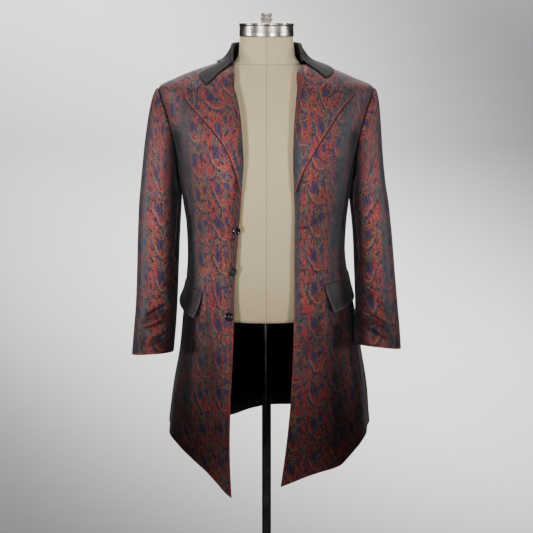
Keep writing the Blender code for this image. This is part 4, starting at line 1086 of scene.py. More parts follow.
def looped(grid):
    """Faces of rings that close on themselves both ways."""
    index = np.arange(grid[..., 0].size).reshape(grid.shape[:2])
    quads = quads_over(np.pad(index, ((0, 1), (0, 1)), mode="wrap"))
    return grid.reshape(-1, 3), quads, np.zeros((0, 3), dtype=int)


def ringed(grid, first_pole, last_pole):
    """Faces of a stack of rings, each closed on itself, with a fan to a pole at either end."""
    index = np.arange(grid[..., 0].size).reshape(grid.shape[:2])
    over = np.roll(index, -1, axis=1)
    pole = np.full(grid.shape[1], index.size)
    fans = [np.stack([pole, over[0], index[0]], -1), np.stack([pole + 1, index[-1], over[-1]], -1)]
    points = np.concatenate([grid.reshape(-1, 3), [first_pole, last_pole]])
    return points, quads_over(closed(index)), np.concatenate(fans)


def together(parts):
    """Several closed shapes as one set of points, quads and triangles."""
    start = np.cumsum([0] + [len(points) for points, _, _ in parts[:-1]])
    points = np.concatenate([part[0] for part in parts])
    quads = np.concatenate([part[1] + at for part, at in zip(parts, start)])
    fans = np.concatenate([part[2] + at for part, at in zip(parts, start)])
    return points, quads, fans


def rounded(profile, radius):
    """A profile with each inner corner cut to a short curve: (1-t)^2 a + 2 t (1-t) corner + t^2 b."""
    profile = np.asarray(profile, dtype=float)
    t = even(5)[:, None]
    points = [profile[:1]]
    for before, corner, after in zip(profile, profile[1:], profile[2:]):
        cut_back = min(radius, 0.45 * np.linalg.norm(before - corner))
        cut_on = min(radius, 0.45 * np.linalg.norm(after - corner))
        a = corner + cut_back * unit(before - corner)
        b = corner + cut_on * unit(after - corner)
        points.append((1 - t)**2 * a + 2 * t * (1 - t) * corner + t**2 * b)
    points.append(profile[-1:])
    return np.concatenate(points)


def turned(profile, segments):
    """A profile of radius and height turned about Z: (r cos a, r sin a, z)."""
    angle = np.arange(segments) * 2 * np.pi / segments
    radius, height = profile[1:-1, :1], profile[1:-1, 1:]
    grid = np.stack(np.broadcast_arrays(radius * np.cos(angle), radius * np.sin(angle), height), axis=-1)
    return ringed(grid, (0.0, 0.0, profile[0, 1]), (0.0, 0.0, profile[-1, 1]))


def add_solid(name, shape, material, node):
    """A hard piece that stands for a node."""
    points, quads, fans = shape
    piece = make_piece(name, points, quads, [material], fans=fans)
    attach(piece, "root")
    if node:
        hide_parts(node)
    return piece


def button_frame(angle, height):
    """Place and directions of a button on the front: across, upward and out of the cloth."""
    places = (np.array(angle), np.array(height))
    normal = surface_normal(front_body, RIGHT, *places)
    upward = unit(np.array([0.0, 0.0, 1.0]) - normal[2] * normal)
    centre = front_body(RIGHT, *places) + normal * BUTTON_LIFT
    return centre, np.stack([np.cross(upward, normal), upward, normal])


def add_buttons():
    """Each button: a turned disc with a raised rim, sunk by four holes: depth x (1 - step(distance)).

    Each is followed by its thread; all six pieces are given back.
    """
    hole_x, hole_y = BUTTON_HOLE_PITCH / 2 * np.array([[-1, 1, -1, 1], [-1, -1, 1, 1]])
    rim = rounded(BUTTON_RIM, BUTTON_CORNER)
    face = np.linspace(rim[-1], (0.0, rim[-1, 1]), BUTTON_FACE_RINGS)[1:]
    pieces = []
    for number, (angle, height) in enumerate(BUTTON_PLACES, start=1):
        points, quads, fans = turned(np.concatenate([rim, face]), segments=96)
        centre, axes = button_frame(angle, height)
        from_hole = np.hypot(points[:, :1] - hole_x, points[:, 1:2] - hole_y).min(axis=1)
        sunk = BUTTON_HOLE_TOP - from_hole / BUTTON_HOLE_RADIUS
        sunk = np.clip(sunk / (BUTTON_HOLE_TOP - BUTTON_HOLE_FOOT), 0, 1)
        on_face = points[:, 2] > BUTTON_FACE - 0.0001
        points[:, 2] -= BUTTON_HOLE_DEPTH * sunk * on_face
        shape = (centre + points @ axes, quads, fans)
        thread = button_thread(centre, axes)
        pieces += [
            add_solid(f"coat_button_{number}", shape, BUTTON_BLACK, f"button_{number}"),
            add_solid(f"button_thread_{number}", thread, DARK_THREAD, None),
        ]
    return pieces


def button_thread(centre, axes):
    """Two stitches between the holes, each an arch of three strands, and the shank behind."""
    t = even(14)
    parts = []
    for across in (-1, 1):
        for strand in (-1, 0, 1):
            x = np.full(len(t), across * BUTTON_HOLE_PITCH / 2 + strand * STRAND_APART)
            y = (t - 0.5) * BUTTON_HOLE_PITCH
            z = BUTTON_FACE + between((STRAND_FOOT, STRAND_TOP), np.sin(np.pi * t)**0.5)
            path = centre + np.stack([x, y, z], axis=-1) @ axes
            parts.append(tube(path, STRAND_RADIUS, np.broadcast_to(axes[0], path.shape), sides=8))
    shank = centre + np.stack([0 * t, 0 * t, -(BUTTON_LIFT - 0.0002) * t], axis=-1) @ axes
    shank_radius = SHANK_RADIUS + SHANK_FLARE * (2 * t - 1)**2
    parts.append(tube(shank, shank_radius, np.broadcast_to(axes[0], shank.shape), sides=16))
    return together(parts)


def signed_power(values, power):
    """sign(values) x |values|^power."""
    return np.sign(values) * np.abs(values)**power


def add_buttonholes():
    """Worked buttonholes on the wearer's left front: a purled thread round a long narrow slot."""
    turn = np.linspace(0, 2 * np.pi, 241)[:-1]
    pieces = []
    for number, height in enumerate(BUTTONHOLE_LEVELS, start=1):
        edge_angle = float(np.interp(height, FRONT_EDGE[LEFT]["height"], FRONT_EDGE[LEFT]["angle"]))
        beside = front_body(LEFT, edge_angle + np.array([5.0, 6.0]), np.full(2, height))
        degree = np.linalg.norm(beside[1] - beside[0])
        along = BUTTONHOLE_LENGTH / 2 * (1 + signed_power(np.cos(turn), 0.6))
        angle = edge_angle + (BUTTONHOLE_START + along) / degree
        level = height + BUTTONHOLE_HALF * signed_power(np.sin(turn), 0.5)
        normal = surface_normal(front_body, LEFT, angle, level)
        path = front_body(LEFT, angle, level) + normal * PURL_LIFT
        radius = PURL_RADIUS + PURL_SWELL * np.cos(PURL_STITCHES * turn)
        shape = tube(path, radius, normal, sides=10, loop=True)
        pieces.append(add_solid(f"buttonhole_{number}", shape, DARK_THREAD, None))
    return pieces


# ---------------------------------------------------------------- dress form and stand

def add_form():
    """The form: rounded square rings up its height, x = half x reach x sin a, closed under and on top."""
    body = np.stack([np.linspace(*FORM_RUN, FORM_ROWS), np.ones(FORM_ROWS)], axis=-1)
    height, scale = np.concatenate([FORM_LOWER_EDGE, body, FORM_UPPER_EDGE]).T[..., None]
    angle = np.radians(np.arange(FORM_COLUMNS) * 360 / FORM_COLUMNS)[None]
    half, front, back, square = (smooth(FORM, column, height) for column in list(FORM)[1:])
    reach = ring_reach(angle, square) * scale
    depth = np.where(np.cos(angle) > 0, front, back)
    x, y = half * reach * np.sin(angle), -depth * reach * np.cos(angle)
    grid = np.stack(np.broadcast_arrays(x, y, height), axis=-1)
    shape = ringed(grid, (0.0, 0.0, FORM_UNDERSIDE), (0.0, 0.0, FORM_TOP))
    add_solid("form_cover", shape, FORM_COVER, "form_torso")


def add_stand():
    """The neck cap, the pole and the round base, all turned about the pole's axis."""
    foot, head = POLE_SOCKET_TOP + POLE_END_GAP, FORM_UNDERSIDE - POLE_END_GAP
    profile = [(0.0, foot), (POLE_RADIUS, foot), (POLE_RADIUS, head), (0.0, head)]
    cap = turned(rounded(NECK_CAP, radius=0.0012), segments=96)
    pole = turned(rounded(profile, radius=0.001), segments=64)
    base = turned(rounded(BASE_PROFILE, radius=0.0025), segments=160)
    add_solid("neck_cap", cap, NICKEL, "form_neck_cap")
    add_solid("pole", pole, CHROME, "stand_pole")
    add_solid("round_base", base, CHROME, "stand_base")


# ---------------------------------------------------------------- finishes

class Field:
    """A number worked out all over a piece; arithmetic on it adds Math nodes to its material."""

    def __init__(self, tree, socket):
        self.tree = tree
        self.socket = socket

    def math(self, operation, *others):
        """One Math node on this field and others, which are fields or plain numbers."""
        node = self.tree.nodes.new("ShaderNodeMath")
        node.operation = operation
        for slot, value in zip(node.inputs, (self, *others)):
            feed(self.tree, value, slot)
        return Field(self.tree, node.outputs[0])

    __add__ = partialmethod(math, "ADD")
    __sub__ = partialmethod(math, "SUBTRACT")
    __mul__ = partialmethod(math, "MULTIPLY")
    __truediv__ = partialmethod(math, "DIVIDE")
    __pow__ = partialmethod(math, "POWER")
    floor = partialmethod(math, "FLOOR")
    fraction = partialmethod(math, "FRACT")
    absolute = partialmethod(math, "ABSOLUTE")
    at_least = partialmethod(math, "MAXIMUM")
    at_most = partialmethod(math, "MINIMUM")
    sine = partialmethod(math, "SINE")
    cosine = partialmethod(math, "COSINE")

    def wave(self, pitch):
        """Waves from 0 to 1, one in every pitch."""
        return (self * (2 * np.pi / pitch)).sine() * 0.5 + 0.5

    def rise(self, start, end, low=0.0, high=1.0):
        """Smooth step: low before start, high after end."""
        node = self.tree.nodes.new("ShaderNodeMapRange")
        node.interpolation_type = "SMOOTHSTEP"
        self.tree.links.new(self.socket, node.inputs["Value"])
        names = ("From Min", "From Max", "To Min", "To Max")
        for name, value in zip(names, (start, end, low, high)):
            node.inputs[name].default_value = value
        return Field(self.tree, node.outputs["Result"])

    def fall(self, start, end, high=1.0):
        """Smooth step down: high before start, 0 after end."""
        return self.rise(start, end, high, 0.0)

    def near(self, centre, half, soft):
        """1 within half of the centre and 0 further off, with a soft border."""
        return (self - centre).absolute().fall(half, half + soft)


def feed(tree, value, slot):
    """Link a field to a socket, or set a plain number on it."""
    if isinstance(value, Field):
        tree.links.new(value.socket, slot)
    else:
        slot.default_value = value


def new_finish(name):
    """A material with only its shader and output, and its node tree."""
    material = bpy.data.materials.new(name)
    material.use_nodes = True
    return material, material.node_tree, material.node_tree.nodes["Principled BSDF"]


def set_constants(shader, **values):
    """Numbers and colours that are the same all over, set on the shader's own sockets."""
    for name, value in values.items():
        socket = shader.inputs[name.replace("_", " ").title().replace("Ior", "IOR")]
        socket.default_value = (*value, 1.0) if isinstance(value, tuple) else value


def tint(tree, factor, first, second):
    """First colour where the factor is 0 and second where it is 1."""
    node = tree.nodes.new("ShaderNodeMix")
    node.data_type = "RGBA"
    tree.links.new(factor.socket, node.inputs[0])
    for slot, value in ((node.inputs[6], first), (node.inputs[7], second)):
        if isinstance(value, tuple):
            slot.default_value = (*value, 1.0)
        else:
            tree.links.new(value, slot)
    return node.outputs[2]


def rings_of_colour(tree, distance, rings):
    """Colours by distance, from a short table of (distance, colour), each running into the next."""
    low, high = rings[0][0], rings[-1][0]
    share = tree.nodes.new("ShaderNodeMapRange")
    tree.links.new(distance.socket, share.inputs["Value"])
    share.inputs["From Min"].default_value = low
    share.inputs["From Max"].default_value = high
    ramp = tree.nodes.new("ShaderNodeValToRGB")
    tree.links.new(share.outputs["Result"], ramp.inputs["Fac"])
    stops = ramp.color_ramp.elements
    stops[1].position = 1.0
    for at, colour in rings[1:-1]:
        stops.new((at - low) / (high - low))
    for stop, (at, colour) in zip(stops, rings):
        stop.color = (*colour, 1.0)
    return ramp.outputs["Color"]


def cloth_place(tree):
    """Along and up the cloth, in millimetres, from the piece's own map."""
    where = tree.nodes.new("ShaderNodeUVMap")
    where.uv_map = "cloth"
    return split(tree, where.outputs["UV"], "XY")


def object_place(tree, axes, scale=MILLIMETRES):
    """Places along some of the piece's own axes, in millimetres unless told otherwise."""
    return split(tree, tree.nodes.new("ShaderNodeTexCoord").outputs["Object"], axes, scale)


def split(tree, vector, axes, scale=MILLIMETRES):
    """Some of a vector's three numbers as fields, scaled."""
    apart = tree.nodes.new("ShaderNodeSeparateXYZ")
    tree.links.new(vector, apart.inputs["Vector"])
    return [Field(tree, apart.outputs[axis]) * scale for axis in axes]


def clouds(tree, u, v, u_size, v_size, detail=1.0):
    """Three unlike soft noises about 0.5, with features of the given sizes."""
    place = tree.nodes.new("ShaderNodeCombineXYZ")
    tree.links.new((u / u_size).socket, place.inputs["X"])
    tree.links.new((v / v_size).socket, place.inputs["Y"])
    noise = tree.nodes.new("ShaderNodeTexNoise")
    noise.noise_dimensions = "2D"
    noise.inputs["Scale"].default_value = 1.0
    noise.inputs["Detail"].default_value = detail
    tree.links.new(place.outputs["Vector"], noise.inputs["Vector"])
    apart = tree.nodes.new("ShaderNodeSeparateColor")
    tree.links.new(noise.outputs["Color"], apart.inputs["Color"])
    return [Field(tree, apart.outputs[name]) for name in ("Red", "Green", "Blue")]


def drop(x, y, place, length, half, hook):
    """Millimetres off a paisley drop: |x - bend| - half x (4 t (1-t))^0.75 x (1.2 - 0.4 t).

    t runs from the foot to the tip. The middle bends by 5 hook (t - 0.55)^2 toward the tip, less
    0.3 hook (t - 0.4) all along.
    """
    t = ((y - place[1]) / length + 0.5).at_least(0.0).at_most(1.0)
    bend = (t - 0.55).at_least(0.0)**2.0 * (hook * 5.0) - (t - 0.4) * (hook * 0.3)
    leaf = (t * (t * -1.0 + 1.0) * 4.0)**0.75 * (t * -0.4 + 1.2) * half
    beyond = ((y - place[1]).absolute() - length / 2).at_least(0.0)
    return (x - place[0] - bend).absolute() - leaf + beyond


def rosette(x, y, place, radius, petals):
    """Millimetres off a round flower: distance - radius x (1 + 0.16 cos(petals x angle))."""
    dx, dy = x - place[0], y - place[1]
    angle = dy.math("ARCTAN2", dx)
    away = (dx * dx + dy * dy)**0.5
    return away - ((angle * float(petals)).cosine() * 0.16 + 1.0) * radius


# The brocade's colours, then those of the form's cover, the buttons and the thread.
RED = (0.340, 0.034, 0.040)
RUST = (0.300, 0.070, 0.032)
GOLD = (0.250, 0.170, 0.090)
OLIVE = (0.110, 0.092, 0.074)
BROWN = (0.125, 0.060, 0.055)
BLUE = (0.048, 0.062, 0.120)
PALE_BLUE = (0.100, 0.120, 0.170)
NAVY = (0.026, 0.022, 0.060)
DARK = (0.026, 0.018, 0.024)
PLUM = (0.150, 0.048, 0.066)
# Next: a painted highlight red for turned edges, the shader's own sheen tint, a painted sheen grey, a
# painted highlight grey for the flaps' edges and a painted shade dark.
EDGE_HIGHLIGHT_RED = (0.420, 0.080, 0.070)
SHEEN_GREY = (0.34, 0.41, 0.45)
PAINTED_SHEEN_GREY = (0.056, 0.068, 0.076)
EDGE_HIGHLIGHT_GREY = (0.085, 0.074, 0.082)
PAINTED_SHADE_DARK = (0.006, 0.005, 0.006)
CREAM = (0.58, 0.47, 0.27)
PALE_CREAM = (0.66, 0.55, 0.34)
CREAM_SHADE = (0.28, 0.21, 0.12)
HORN = (0.006, 0.006, 0.008)
PALE_HORN = (0.022, 0.018, 0.017)
BLACK_THREAD = (0.010, 0.010, 0.012)
PALE_THREAD = (0.035, 0.033, 0.034)

# The pattern's columns and repeat, its row of beads, the weft and the stitches, in millimetres.
COLUMN_PITCH = 54.0
COLUMN_START = -20.0
COLUMN_STEP = 21.0
REPEAT = 75.0
REPEAT_START = -50.0
BEAD_PITCH = 6.6
WEFT_PITCH = 0.55
EDGE_STITCH = 5.0
# Colours by millimetres off a shape's border, from its middle outward.
DROP_RINGS = [(-7.0, PLUM), (-6.0, NAVY), (-4.2, NAVY), (-3.6, PLUM), (-2.4, BLUE), (-1.4, BLUE),
              (-0.7, NAVY), (0.6, NAVY), (1.2, BROWN)]
BEAD_RINGS = [(-2.6, PALE_BLUE), (-1.2, BLUE), (-0.5, NAVY), (0.5, NAVY)]
FLOWER_RINGS = [(-4.5, GOLD), (-3.6, NAVY), (-2.6, PLUM), (-1.2, BLUE), (0.0, NAVY), (0.5, BROWN)]
SEED_RINGS = [(-2.2, GOLD), (-0.4, GOLD), (0.2, DARK), (0.6, DARK)]


def bowl(x, y):
    """Millimetres inside a bowl with its foot at (8, -33).

    Its lip rises 31.6 t^1.9 to the left and 8 t + 18 t^6 to the right, t being the way out; the
    height above the lip is divided by how steep the lip is there.
    """
    left = ((x * -1.0 + 8.0) / 22.6).at_least(0.0)
    right = ((x - 8.0) / 27.0).at_least(0.0)
    lip = left**1.9 * 31.6 + right * 8.0 + right**6.0 * 18.0 - 33.0
    return (y - lip) / (left * 1.6 + right**5.0 * 2.5 + 1.0)


def repeat_place(tree, u, v):
    """Place in the pattern's repeat, in millimetres, its lines swaying by a soft noise.

    Each column of the pattern stands a step higher than the one before.
    """
    sway = clouds(tree, u, v, 26.0, 30.0)
    u_bent = u + (sway[0] - 0.5) * 8.0
    v_bent = v + (sway[1] - 0.5) * 8.0
    column = ((u_bent - COLUMN_START) / COLUMN_PITCH).floor()
    x = u_bent - column * COLUMN_PITCH
    stepped = v_bent - column * COLUMN_STEP
    y = stepped - ((stepped - REPEAT_START) / REPEAT).floor() * REPEAT
    return x, y


def paisley(tree):
    """Colour and relief of the brocade: a hooked drop over a red bowl, with beads and flowers."""
    u, v = cloth_place(tree)
    x, y = repeat_place(tree, u, v)
    inside = bowl(x, y)
    colour, relief = curling_ground(tree, u, v, reddened(tree, u, v, x, y, inside))
    lip = inside.near(0.0, 0.5, 0.6) * x.fall(14.0, 22.0, 0.9) * y.fall(-12.0, 0.0)
    colour = tint(tree, lip, colour, GOLD)
    colour = tint(tree, vein(x, y), colour, DARK)
    for distance, rings in ornaments(x, y, inside):
        last = rings[-1][0]
        mask = distance.fall(last - 0.2, last + 0.5, 0.95)
        colour = tint(tree, mask, colour, rings_of_colour(tree, distance, rings))
        relief = (relief * (mask * -1.0 + 1.0) + distance.near(0.4, 0.4, 0.4)).at_most(1.0)
    return u, v, colour, (relief + lip).at_most(1.0)


def reddened(tree, u, v, x, y, inside):
    """Where the ground is red: in the bowl and in two drops beside it, their borders ragged."""
    ragged = clouds(tree, u, v, 8.0, 14.0)[0] * 16.0 - 8.0
    in_bowl = inside.rise(-0.5, 0.5) * (inside + ragged).fall(9.0, 14.0)
    left_drop = drop(x, y, (-11.0, -37.0), 25.0, 5.5, 3.0) + ragged * 0.3
    right_drop = drop(x, y, (27.0, 9.0), 28.0, 3.6, -4.0) + ragged * 0.3
    return left_drop.at_most(right_drop).fall(-1.0, 1.5).at_least(in_bowl)


def vein(x, y):
    """A wavy dark line up the middle of the bowl: x = 5.5 + 1.4 sin(0.35 y), from -27 to -7."""
    off = (x - 5.5 - (y * 0.35).sine() * 1.4).absolute()
    off = off + (y + 7.0).at_least(0.0) + (y * -1.0 - 27.0).at_least(0.0)
    return off.fall(0.5, 1.1, 0.9)


def ornaments(x, y, inside):
    """Distances and rings of colour of the drops, the flowers, the seeds and the row of beads."""
    along = (x * 0.75 - y * 0.65) * (2 * np.pi / BEAD_PITCH)
    beads = (inside + 5.0).absolute() - along.cosine() * 1.2 - 0.5 + (x - 6.0).at_least(0.0)
    return [
        (drop(x, y, (17.0, 12.0), 15.0, 3.0, 4.0), DROP_RINGS),
        (rosette(x, y, (15.0, -42.0), 4.0, 6), FLOWER_RINGS),
        (rosette(x, y, (26.0, -13.0), 1.6, 5), SEED_RINGS),
        (rosette(x, y, (16.0, -25.0), 1.4, 5), SEED_RINGS),
        (rosette(x, y, (2.0, -45.0), 2.2, 5), SEED_RINGS),
        (rosette(x, y, (9.0, 19.0), 2.0, 5), SEED_RINGS),
        (rosette(x, y, (29.0, -40.0), 3.0, 6), FLOWER_RINGS),
        (beads, BEAD_RINGS),
        (drop(x, y, (-1.0, 1.0), 28.0, 6.6, -8.0), DROP_RINGS),
    ]


def curling_ground(tree, u, v, red):
    """Brown and olive ground, red where asked and in upright streaks, under curling fine lines."""
    curls = clouds(tree, u, v, 9.0, 16.0, 1.5)
    small = clouds(tree, u, v, 6.0, 13.0)
    streaks = clouds(tree, u, v, 12.0, 48.0)
    wide = clouds(tree, u, v, 70.0, 90.0)
    colour = tint(tree, streaks[1].rise(0.44, 0.58), BROWN, OLIVE)
    reds = tint(tree, wide[0].rise(0.45, 0.6, 0.0, 0.6), RED, RUST)
    colour = tint(tree, streaks[0].rise(0.50, 0.58, 0.0, 0.8).at_least(red * 0.9), colour, reds)
    colour = tint(tree, small[0].rise(0.62, 0.66, 0.0, 0.75), colour, BLUE)
    colour = tint(tree, curls[2].rise(0.60, 0.65, 0.0, 0.7), colour, PLUM)
    line = ((curls[0] * 6.0).fraction() - 0.5).absolute().fall(0.06, 0.12)
    other = ((curls[1] * 5.0).fraction() - 0.5).absolute().fall(0.05, 0.11)
    colour = tint(tree, other * 0.75, colour, NAVY)
    colour = tint(tree, line * small[2].rise(0.36, 0.50) * 0.9, colour, GOLD)
    colour = tint(tree, small[1].rise(0.64, 0.68, 0.0, 0.85), colour, DARK)
    return colour, line.at_least(other * 0.7)


def scaled(tree, colour, factor):
    """A colour made lighter or darker by a factor."""
    node = tree.nodes.new("ShaderNodeVectorMath")
    node.operation = "SCALE"
    tree.links.new(colour, node.inputs[0])
    tree.links.new(factor.socket, node.inputs["Scale"])
    return node.outputs[0]


def painted_sheen_and_shade_colour(tree, u, v, colour):
    """The cloth's colour with painted sheen, grey in patches, and with painted shade, dark, as its own
    marks say.
    """
    patchy = clouds(tree, u, v, 7.0, 16.0, 2.0)[0].rise(0.3, 0.7, 0.75, 1.2)
    colour = tint(tree, stored(tree, "grey") * patchy, colour, PAINTED_SHEEN_GREY)
    return tint(tree, stored(tree, "dark"), colour, PAINTED_SHADE_DARK)


def brocade(name, sheen, at_edge=False, satin=0.88, brightness=1.0,
            fold=0.6, painted_highlight_colour=EDGE_HIGHLIGHT_RED, painted_highlight_width=2.4, painted_shadow_width=0.0):
    """Silky jacquard: the paisley in satin floats, raised along its gold lines, with a cool sheen.

    Away from a turned edge it also has its bands of painted sheen and painted shade, a painted highlight
    as wide as painted_highlight_width along each finished edge, where a turned edge catches the light,
    a painted shadow line inside that as wide as painted_shadow_width, and a sunk line of stitches.
    A brightness below 1 darkens the whole piece as painted shade.
    """
    material, tree, shader = new_finish(name)
    u, v, colour, relief = paisley(tree)
    floats = clouds(tree, u, v, 0.32, 1.6)[0]
    height = relief * 0.16 + floats * 0.07 + u.wave(WEFT_PITCH) * 0.03
    # A brightness below 1 is painted shade over the whole piece.
    colour = scaled(tree, colour, floats.rise(0.30, 0.70, 0.72 * brightness, 1.22 * brightness))
    if not at_edge:
        away = stored(tree, "edge") * MILLIMETRES
        # Painted sheen and painted shade, from the piece's grey and dark marks.
        colour = painted_sheen_and_shade_colour(tree, u, v, colour)
        # Painted highlight along each finished edge, where the turned edge catches the light, as strong
        # as fold.
        colour = tint(tree, away.fall(painted_highlight_width - 1.0, painted_highlight_width, fold), colour, painted_highlight_colour)
        # Painted shadow line nearest each finished edge.
        colour = tint(tree, away.fall(painted_shadow_width - 0.6, painted_shadow_width, 0.95), colour, DARK)
        height = height + away.near(EDGE_STITCH, 0.35, 0.6) * -0.25
    cover(tree, shader, colour, relief * -0.06 + floats * 0.10 + 0.52, height, 0.9)
    across_the_thread = tree.nodes.new("ShaderNodeTangent")
    across_the_thread.direction_type = "UV_MAP"
    across_the_thread.uv_map = "cloth"
    tree.links.new(across_the_thread.outputs["Tangent"], shader.inputs["Tangent"])
    set_constants(shader, metallic=satin, anisotropic=0.40, anisotropic_rotation=0.25,
                  sheen_weight=sheen, sheen_roughness=0.5, sheen_tint=SHEEN_GREY)
    return material


def stored(tree, name):
    """A value kept at the points of the piece: metres from a finished edge, or how grey or dark it is."""
    node = tree.nodes.new("ShaderNodeAttribute")
    node.attribute_name = name
    return Field(tree, node.outputs["Fac"])


def cover(tree, shader, colour, rough, height, strength):
    """Link a colour, a roughness and a bump from a height in millimetres to the shader."""
    node = tree.nodes.new("ShaderNodeBump")
    node.inputs["Strength"].default_value = strength
    node.inputs["Distance"].default_value = 1 / MILLIMETRES
    tree.links.new(height.socket, node.inputs["Height"])
    tree.links.new(node.outputs["Normal"], shader.inputs["Normal"])
    tree.links.new(colour, shader.inputs["Base Color"])
    feed(tree, rough, shader.inputs["Roughness"])


def plain_weave(name, dark, light, pitch, rough, sheen_tint, sheen, relief, sewn=0.0):
    """A plain or twill weave: diagonal ribs, mottled, with a line sewn beside its edges if asked."""
    material, tree, shader = new_finish(name)
    u, v = cloth_place(tree)
    rib = (u + v).wave(pitch)
    mottle = clouds(tree, u, v, 2.2, 3.0, 2.0)
    colour = tint(tree, (mottle[0] * 0.7 + rib * 0.3).rise(0.25, 0.80), dark, light)
    height = (rib * 0.7 + mottle[2] * 0.6) * relief
    if sewn:
        seam = (stored(tree, "edge") * MILLIMETRES).near(sewn, 0.6, 0.9)
        colour = tint(tree, seam * 0.85, colour, dark)
        height = height - seam * 0.5
    cover(tree, shader, colour, mottle[1] * 0.16 + rough, height, 0.8)
    set_constants(shader, sheen_weight=sheen, sheen_roughness=0.45, sheen_tint=sheen_tint,
                  specular_ior_level=0.4)
    return material


def form_cover_finish():
    """Cream knitted cover with sewn seams: dark thin lines, sunk, at fixed turns round the form."""
    material, tree, shader = new_finish("cream_form_cover")
    x, y, z = object_place(tree, "XYZ")
    across = x.absolute()
    princess = across - ((z - 1200.0).absolute() * 0.08 + 62.0)
    lines = [distance.absolute().fall(0.7, 1.3) for distance in (across, princess, y, z - 1500.0)]
    centre, panel, side, neck = lines
    seam = centre.at_least(panel * z.fall(1440.0, 1442.0)).at_least(side).at_least(neck)
    mottle = clouds(tree, x + y * 0.7, z, 3.0, 3.0, 2.0)
    knit = (z * (2 * np.pi / 0.9)).sine() * ((x + y) * (2 * np.pi / 0.8)).sine()
    cream = tint(tree, mottle[0].rise(0.3, 0.7), CREAM, PALE_CREAM)
    colour = tint(tree, seam * 0.55, cream, CREAM_SHADE)
    cover(tree, shader, colour, mottle[1] * 0.12 + 0.68, knit * 0.06 + seam * -0.5, 0.7)
    set_constants(shader, sheen_weight=0.3, sheen_roughness=0.5, specular_ior_level=0.3)
    return material


def metal(name, colour, rough, brushed):
    """Plated metal with fine marks round it and soft smudges."""
    material, tree, shader = new_finish(name)
    x, y, z = object_place(tree, "XYZ")
    radius = (x * x + y * y)**0.5
    marks = clouds(tree, radius, z, 0.5, 0.5)[0]
    smudge = clouds(tree, x, z + y, 22.0, 22.0, 3.0)
    darker = tuple(0.82 * value for value in colour)
    smudged = tint(tree, smudge[0].rise(0.35, 0.7), colour, darker)
    cover(tree, shader, smudged, smudge[1] * 0.12 + marks * 0.05 + rough, marks * brushed, 0.5)
    set_constants(shader, metallic=1.0)
    return material


def glossy_black(name):
    """Polished black horn: cloudy brown-black with a thin gloss and fine wear."""
    material, tree, shader = new_finish(name)
    x, z = object_place(tree, "XZ")
    grain = clouds(tree, x, z, 3.0, 1.2, 3.0)
    colour = tint(tree, grain[0].rise(0.4, 0.7), HORN, PALE_HORN)
    cover(tree, shader, colour, grain[1] * 0.10 + 0.12, grain[2] * 0.03, 0.4)
    set_constants(shader, coat_weight=0.6, coat_roughness=0.10)
    return material


def thread_finish(name):
    """Twisted black thread."""
    material, tree, shader = new_finish(name)
    x, z = object_place(tree, "XZ")
    twist = (x + z).wave(0.35)
    cover(tree, shader, tint(tree, twist, BLACK_THREAD, PALE_THREAD), 0.55, twist * 0.08, 0.6)
    return material


BROCADE = brocade("paisley_brocade", 0.30)
# The lapels get a painted shadow line at their edges and a wider painted highlight just inside it.
BROCADE_LAPEL = brocade("lapel_brocade", 0.30, fold=0.45, painted_highlight_width=5.6, painted_shadow_width=2.8)
BROCADE_EDGE = brocade("turned_brocade_edge", 0.12, at_edge=True)
# The flaps' brocade is painted dark all over as painted shade, with a grey painted highlight and a thin
# painted shadow line along their edges.
BROCADE_FLAP = brocade("flap_brocade_painted_shade", 0.26, satin=0.20, brightness=0.14,
                       fold=0.8, painted_highlight_colour=EDGE_HIGHLIGHT_GREY, painted_highlight_width=3.6, painted_shadow_width=1.0)
BROCADE_DARK_EDGE = brocade("shadowed_brocade_edge", 0.02, at_edge=True, brightness=0.12)
LINING = plain_weave("black_satin_lining", (0.002, 0.002, 0.002), (0.004, 0.004, 0.005), 0.7, 0.42,
                     (0.3, 0.3, 0.3), 0.02, 0.05)
COLLAR_CLOTH = plain_weave("charcoal_twill", (0.009, 0.008, 0.008), (0.034, 0.028, 0.028), 1.1, 0.54,
                           (0.5, 0.44, 0.43), 0.10, 0.16, sewn=9.0)
FORM_COVER = form_cover_finish()
NICKEL = metal("satin_nickel", (0.70, 0.62, 0.55), 0.20, 0.03)
CHROME = metal("polished_chrome", (0.66, 0.66, 0.68), 0.07, 0.01)
BUTTON_BLACK = glossy_black("black_horn")
DARK_THREAD = thread_finish("black_thread")
COAT_CLOTH = (BROCADE, LINING, BROCADE_EDGE)
LAPEL_CLOTH = (BROCADE_LAPEL, BROCADE, BROCADE_DARK_EDGE)
FLAP_CLOTH = (BROCADE_FLAP, LINING, BROCADE_EDGE)
COLLAR_CLOTHS = (COLLAR_CLOTH, COLLAR_CLOTH, COLLAR_CLOTH)


# ---------------------------------------------------------------- floor, light and camera

def add_backdrop():
    """A pale sweep: floor at 0 that turns up by a quarter circle behind, with painted light and shade
    across it.
    """
    turn = np.radians(np.linspace(0, 90, 25))
    bend = SWEEP_RADIUS * np.stack([np.sin(turn), 1 - np.cos(turn)], axis=-1) + (SWEEP_START, 0.0)
    line = np.concatenate([[(SWEEP_FRONT, 0.0)], bend, [(SWEEP_START + SWEEP_RADIUS, SWEEP_TOP)]])
    x = np.linspace(-SWEEP_HALF, SWEEP_HALF, 5)[None]
    grid = np.stack(np.broadcast_arrays(x, line[:, :1], line[:, 1:]), axis=-1)
    quads = quads_over(np.arange(grid[..., 0].size).reshape(grid.shape[:2]))
    mesh = bpy.data.meshes.new("pale_sweep")
    mesh.from_pydata(grid.reshape(-1, 3).tolist(), [], quads.tolist())
    mesh.shade_smooth()
    mesh.materials.append(sweep_finish())
    sweep = bpy.data.objects.new("pale_sweep", mesh)
    bpy.context.collection.objects.link(sweep)
    sweep.visible_diffuse = False
    sweep.visible_glossy = False


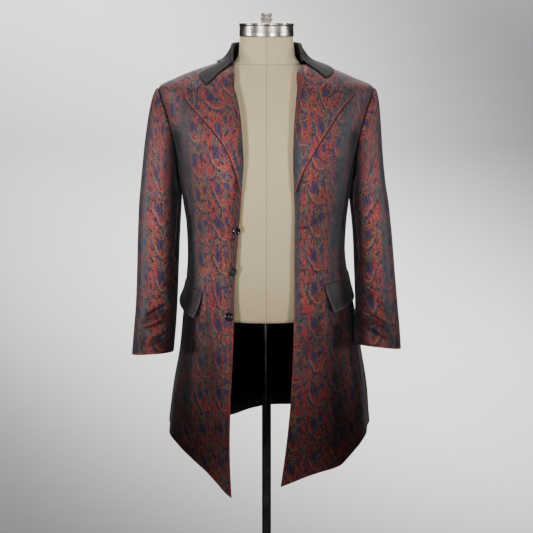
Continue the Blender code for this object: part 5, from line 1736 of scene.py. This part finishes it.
def sweep_finish():
    """Matt grey paper with painted light: a pale band painted across it from one corner to the other, and
    painted shade away from it; clear when seen from behind.
    """
    material, tree, shader = new_finish("grey_paper")
    x, y, z = object_place(tree, "XYZ", 1.0)
    rise = z + y * 0.55
    painted_light_band = (x * 0.75 + rise - SWEEP_LIGHT).absolute().fall(0.15, 1.9)
    grain = clouds(tree, x, rise, 0.04, 0.04, 2.0)[0]
    grey = tint(tree, painted_light_band + (grain - 0.5) * 0.02, SWEEP_DARK, SWEEP_PALE)
    tree.links.new(grey, shader.inputs["Base Color"])
    set_constants(shader, roughness=0.95, specular_ior_level=0.1)
    from_behind = tree.nodes.new("ShaderNodeNewGeometry").outputs["Backfacing"]
    clear = tree.nodes.new("ShaderNodeBsdfTransparent").outputs["BSDF"]
    seen = tree.nodes.new("ShaderNodeMixShader")
    for socket, slot in zip((from_behind, shader.outputs["BSDF"], clear), seen.inputs):
        tree.links.new(socket, slot)
    tree.links.new(seen.outputs["Shader"], tree.nodes["Material Output"].inputs["Surface"])
    return material


def add_light(name, place, target, size, power, spread, colour):
    """A soft rectangular light aimed at a point, its grid holding it to a cone of some degrees."""
    lamp = bpy.data.lights.new(name, "AREA")
    lamp.shape = "RECTANGLE"
    lamp.size, lamp.size_y = size
    lamp.energy = power
    lamp.spread = np.radians(spread)
    lamp.color = colour
    light = bpy.data.objects.new(name, lamp)
    light.location = place
    aim = Vector(target) - Vector(place)
    light.rotation_euler = aim.to_track_quat("-Z", "Y").to_euler()
    bpy.context.collection.objects.link(light)


def add_studio():
    """The soft boxes, and a faint even light from all round."""
    for light in LIGHTS:
        add_light(*light)
    world = bpy.data.worlds.new("studio_air")
    world.use_nodes = True
    air = world.node_tree.nodes["Background"]
    air.inputs["Color"].default_value = (*AIR, 1.0)
    air.inputs["Strength"].default_value = AIR_STRENGTH
    bpy.context.scene.world = world


def add_camera():
    """The camera, a little above the shoulders and looking slightly down."""
    lens = bpy.data.cameras.new("camera")
    lens.lens = CAMERA_LENS
    camera = bpy.data.objects.new("camera", lens)
    camera.location = CAMERA_PLACE
    camera.rotation_euler = (np.radians(90 - CAMERA_DIP), 0.0, 0.0)
    bpy.context.collection.objects.link(camera)
    bpy.context.scene.camera = camera


def build():
    """Every piece of the coat, then the form it stands on, then the room."""
    for side in (RIGHT, LEFT):
        add_front(side)
        add_back(side)
        add_sleeve(side)
        add_lapel(side)
        add_flap(side)
    add_collar()
    add_form()
    add_stand()
    add_backdrop()
    add_studio()
    add_camera()


build()
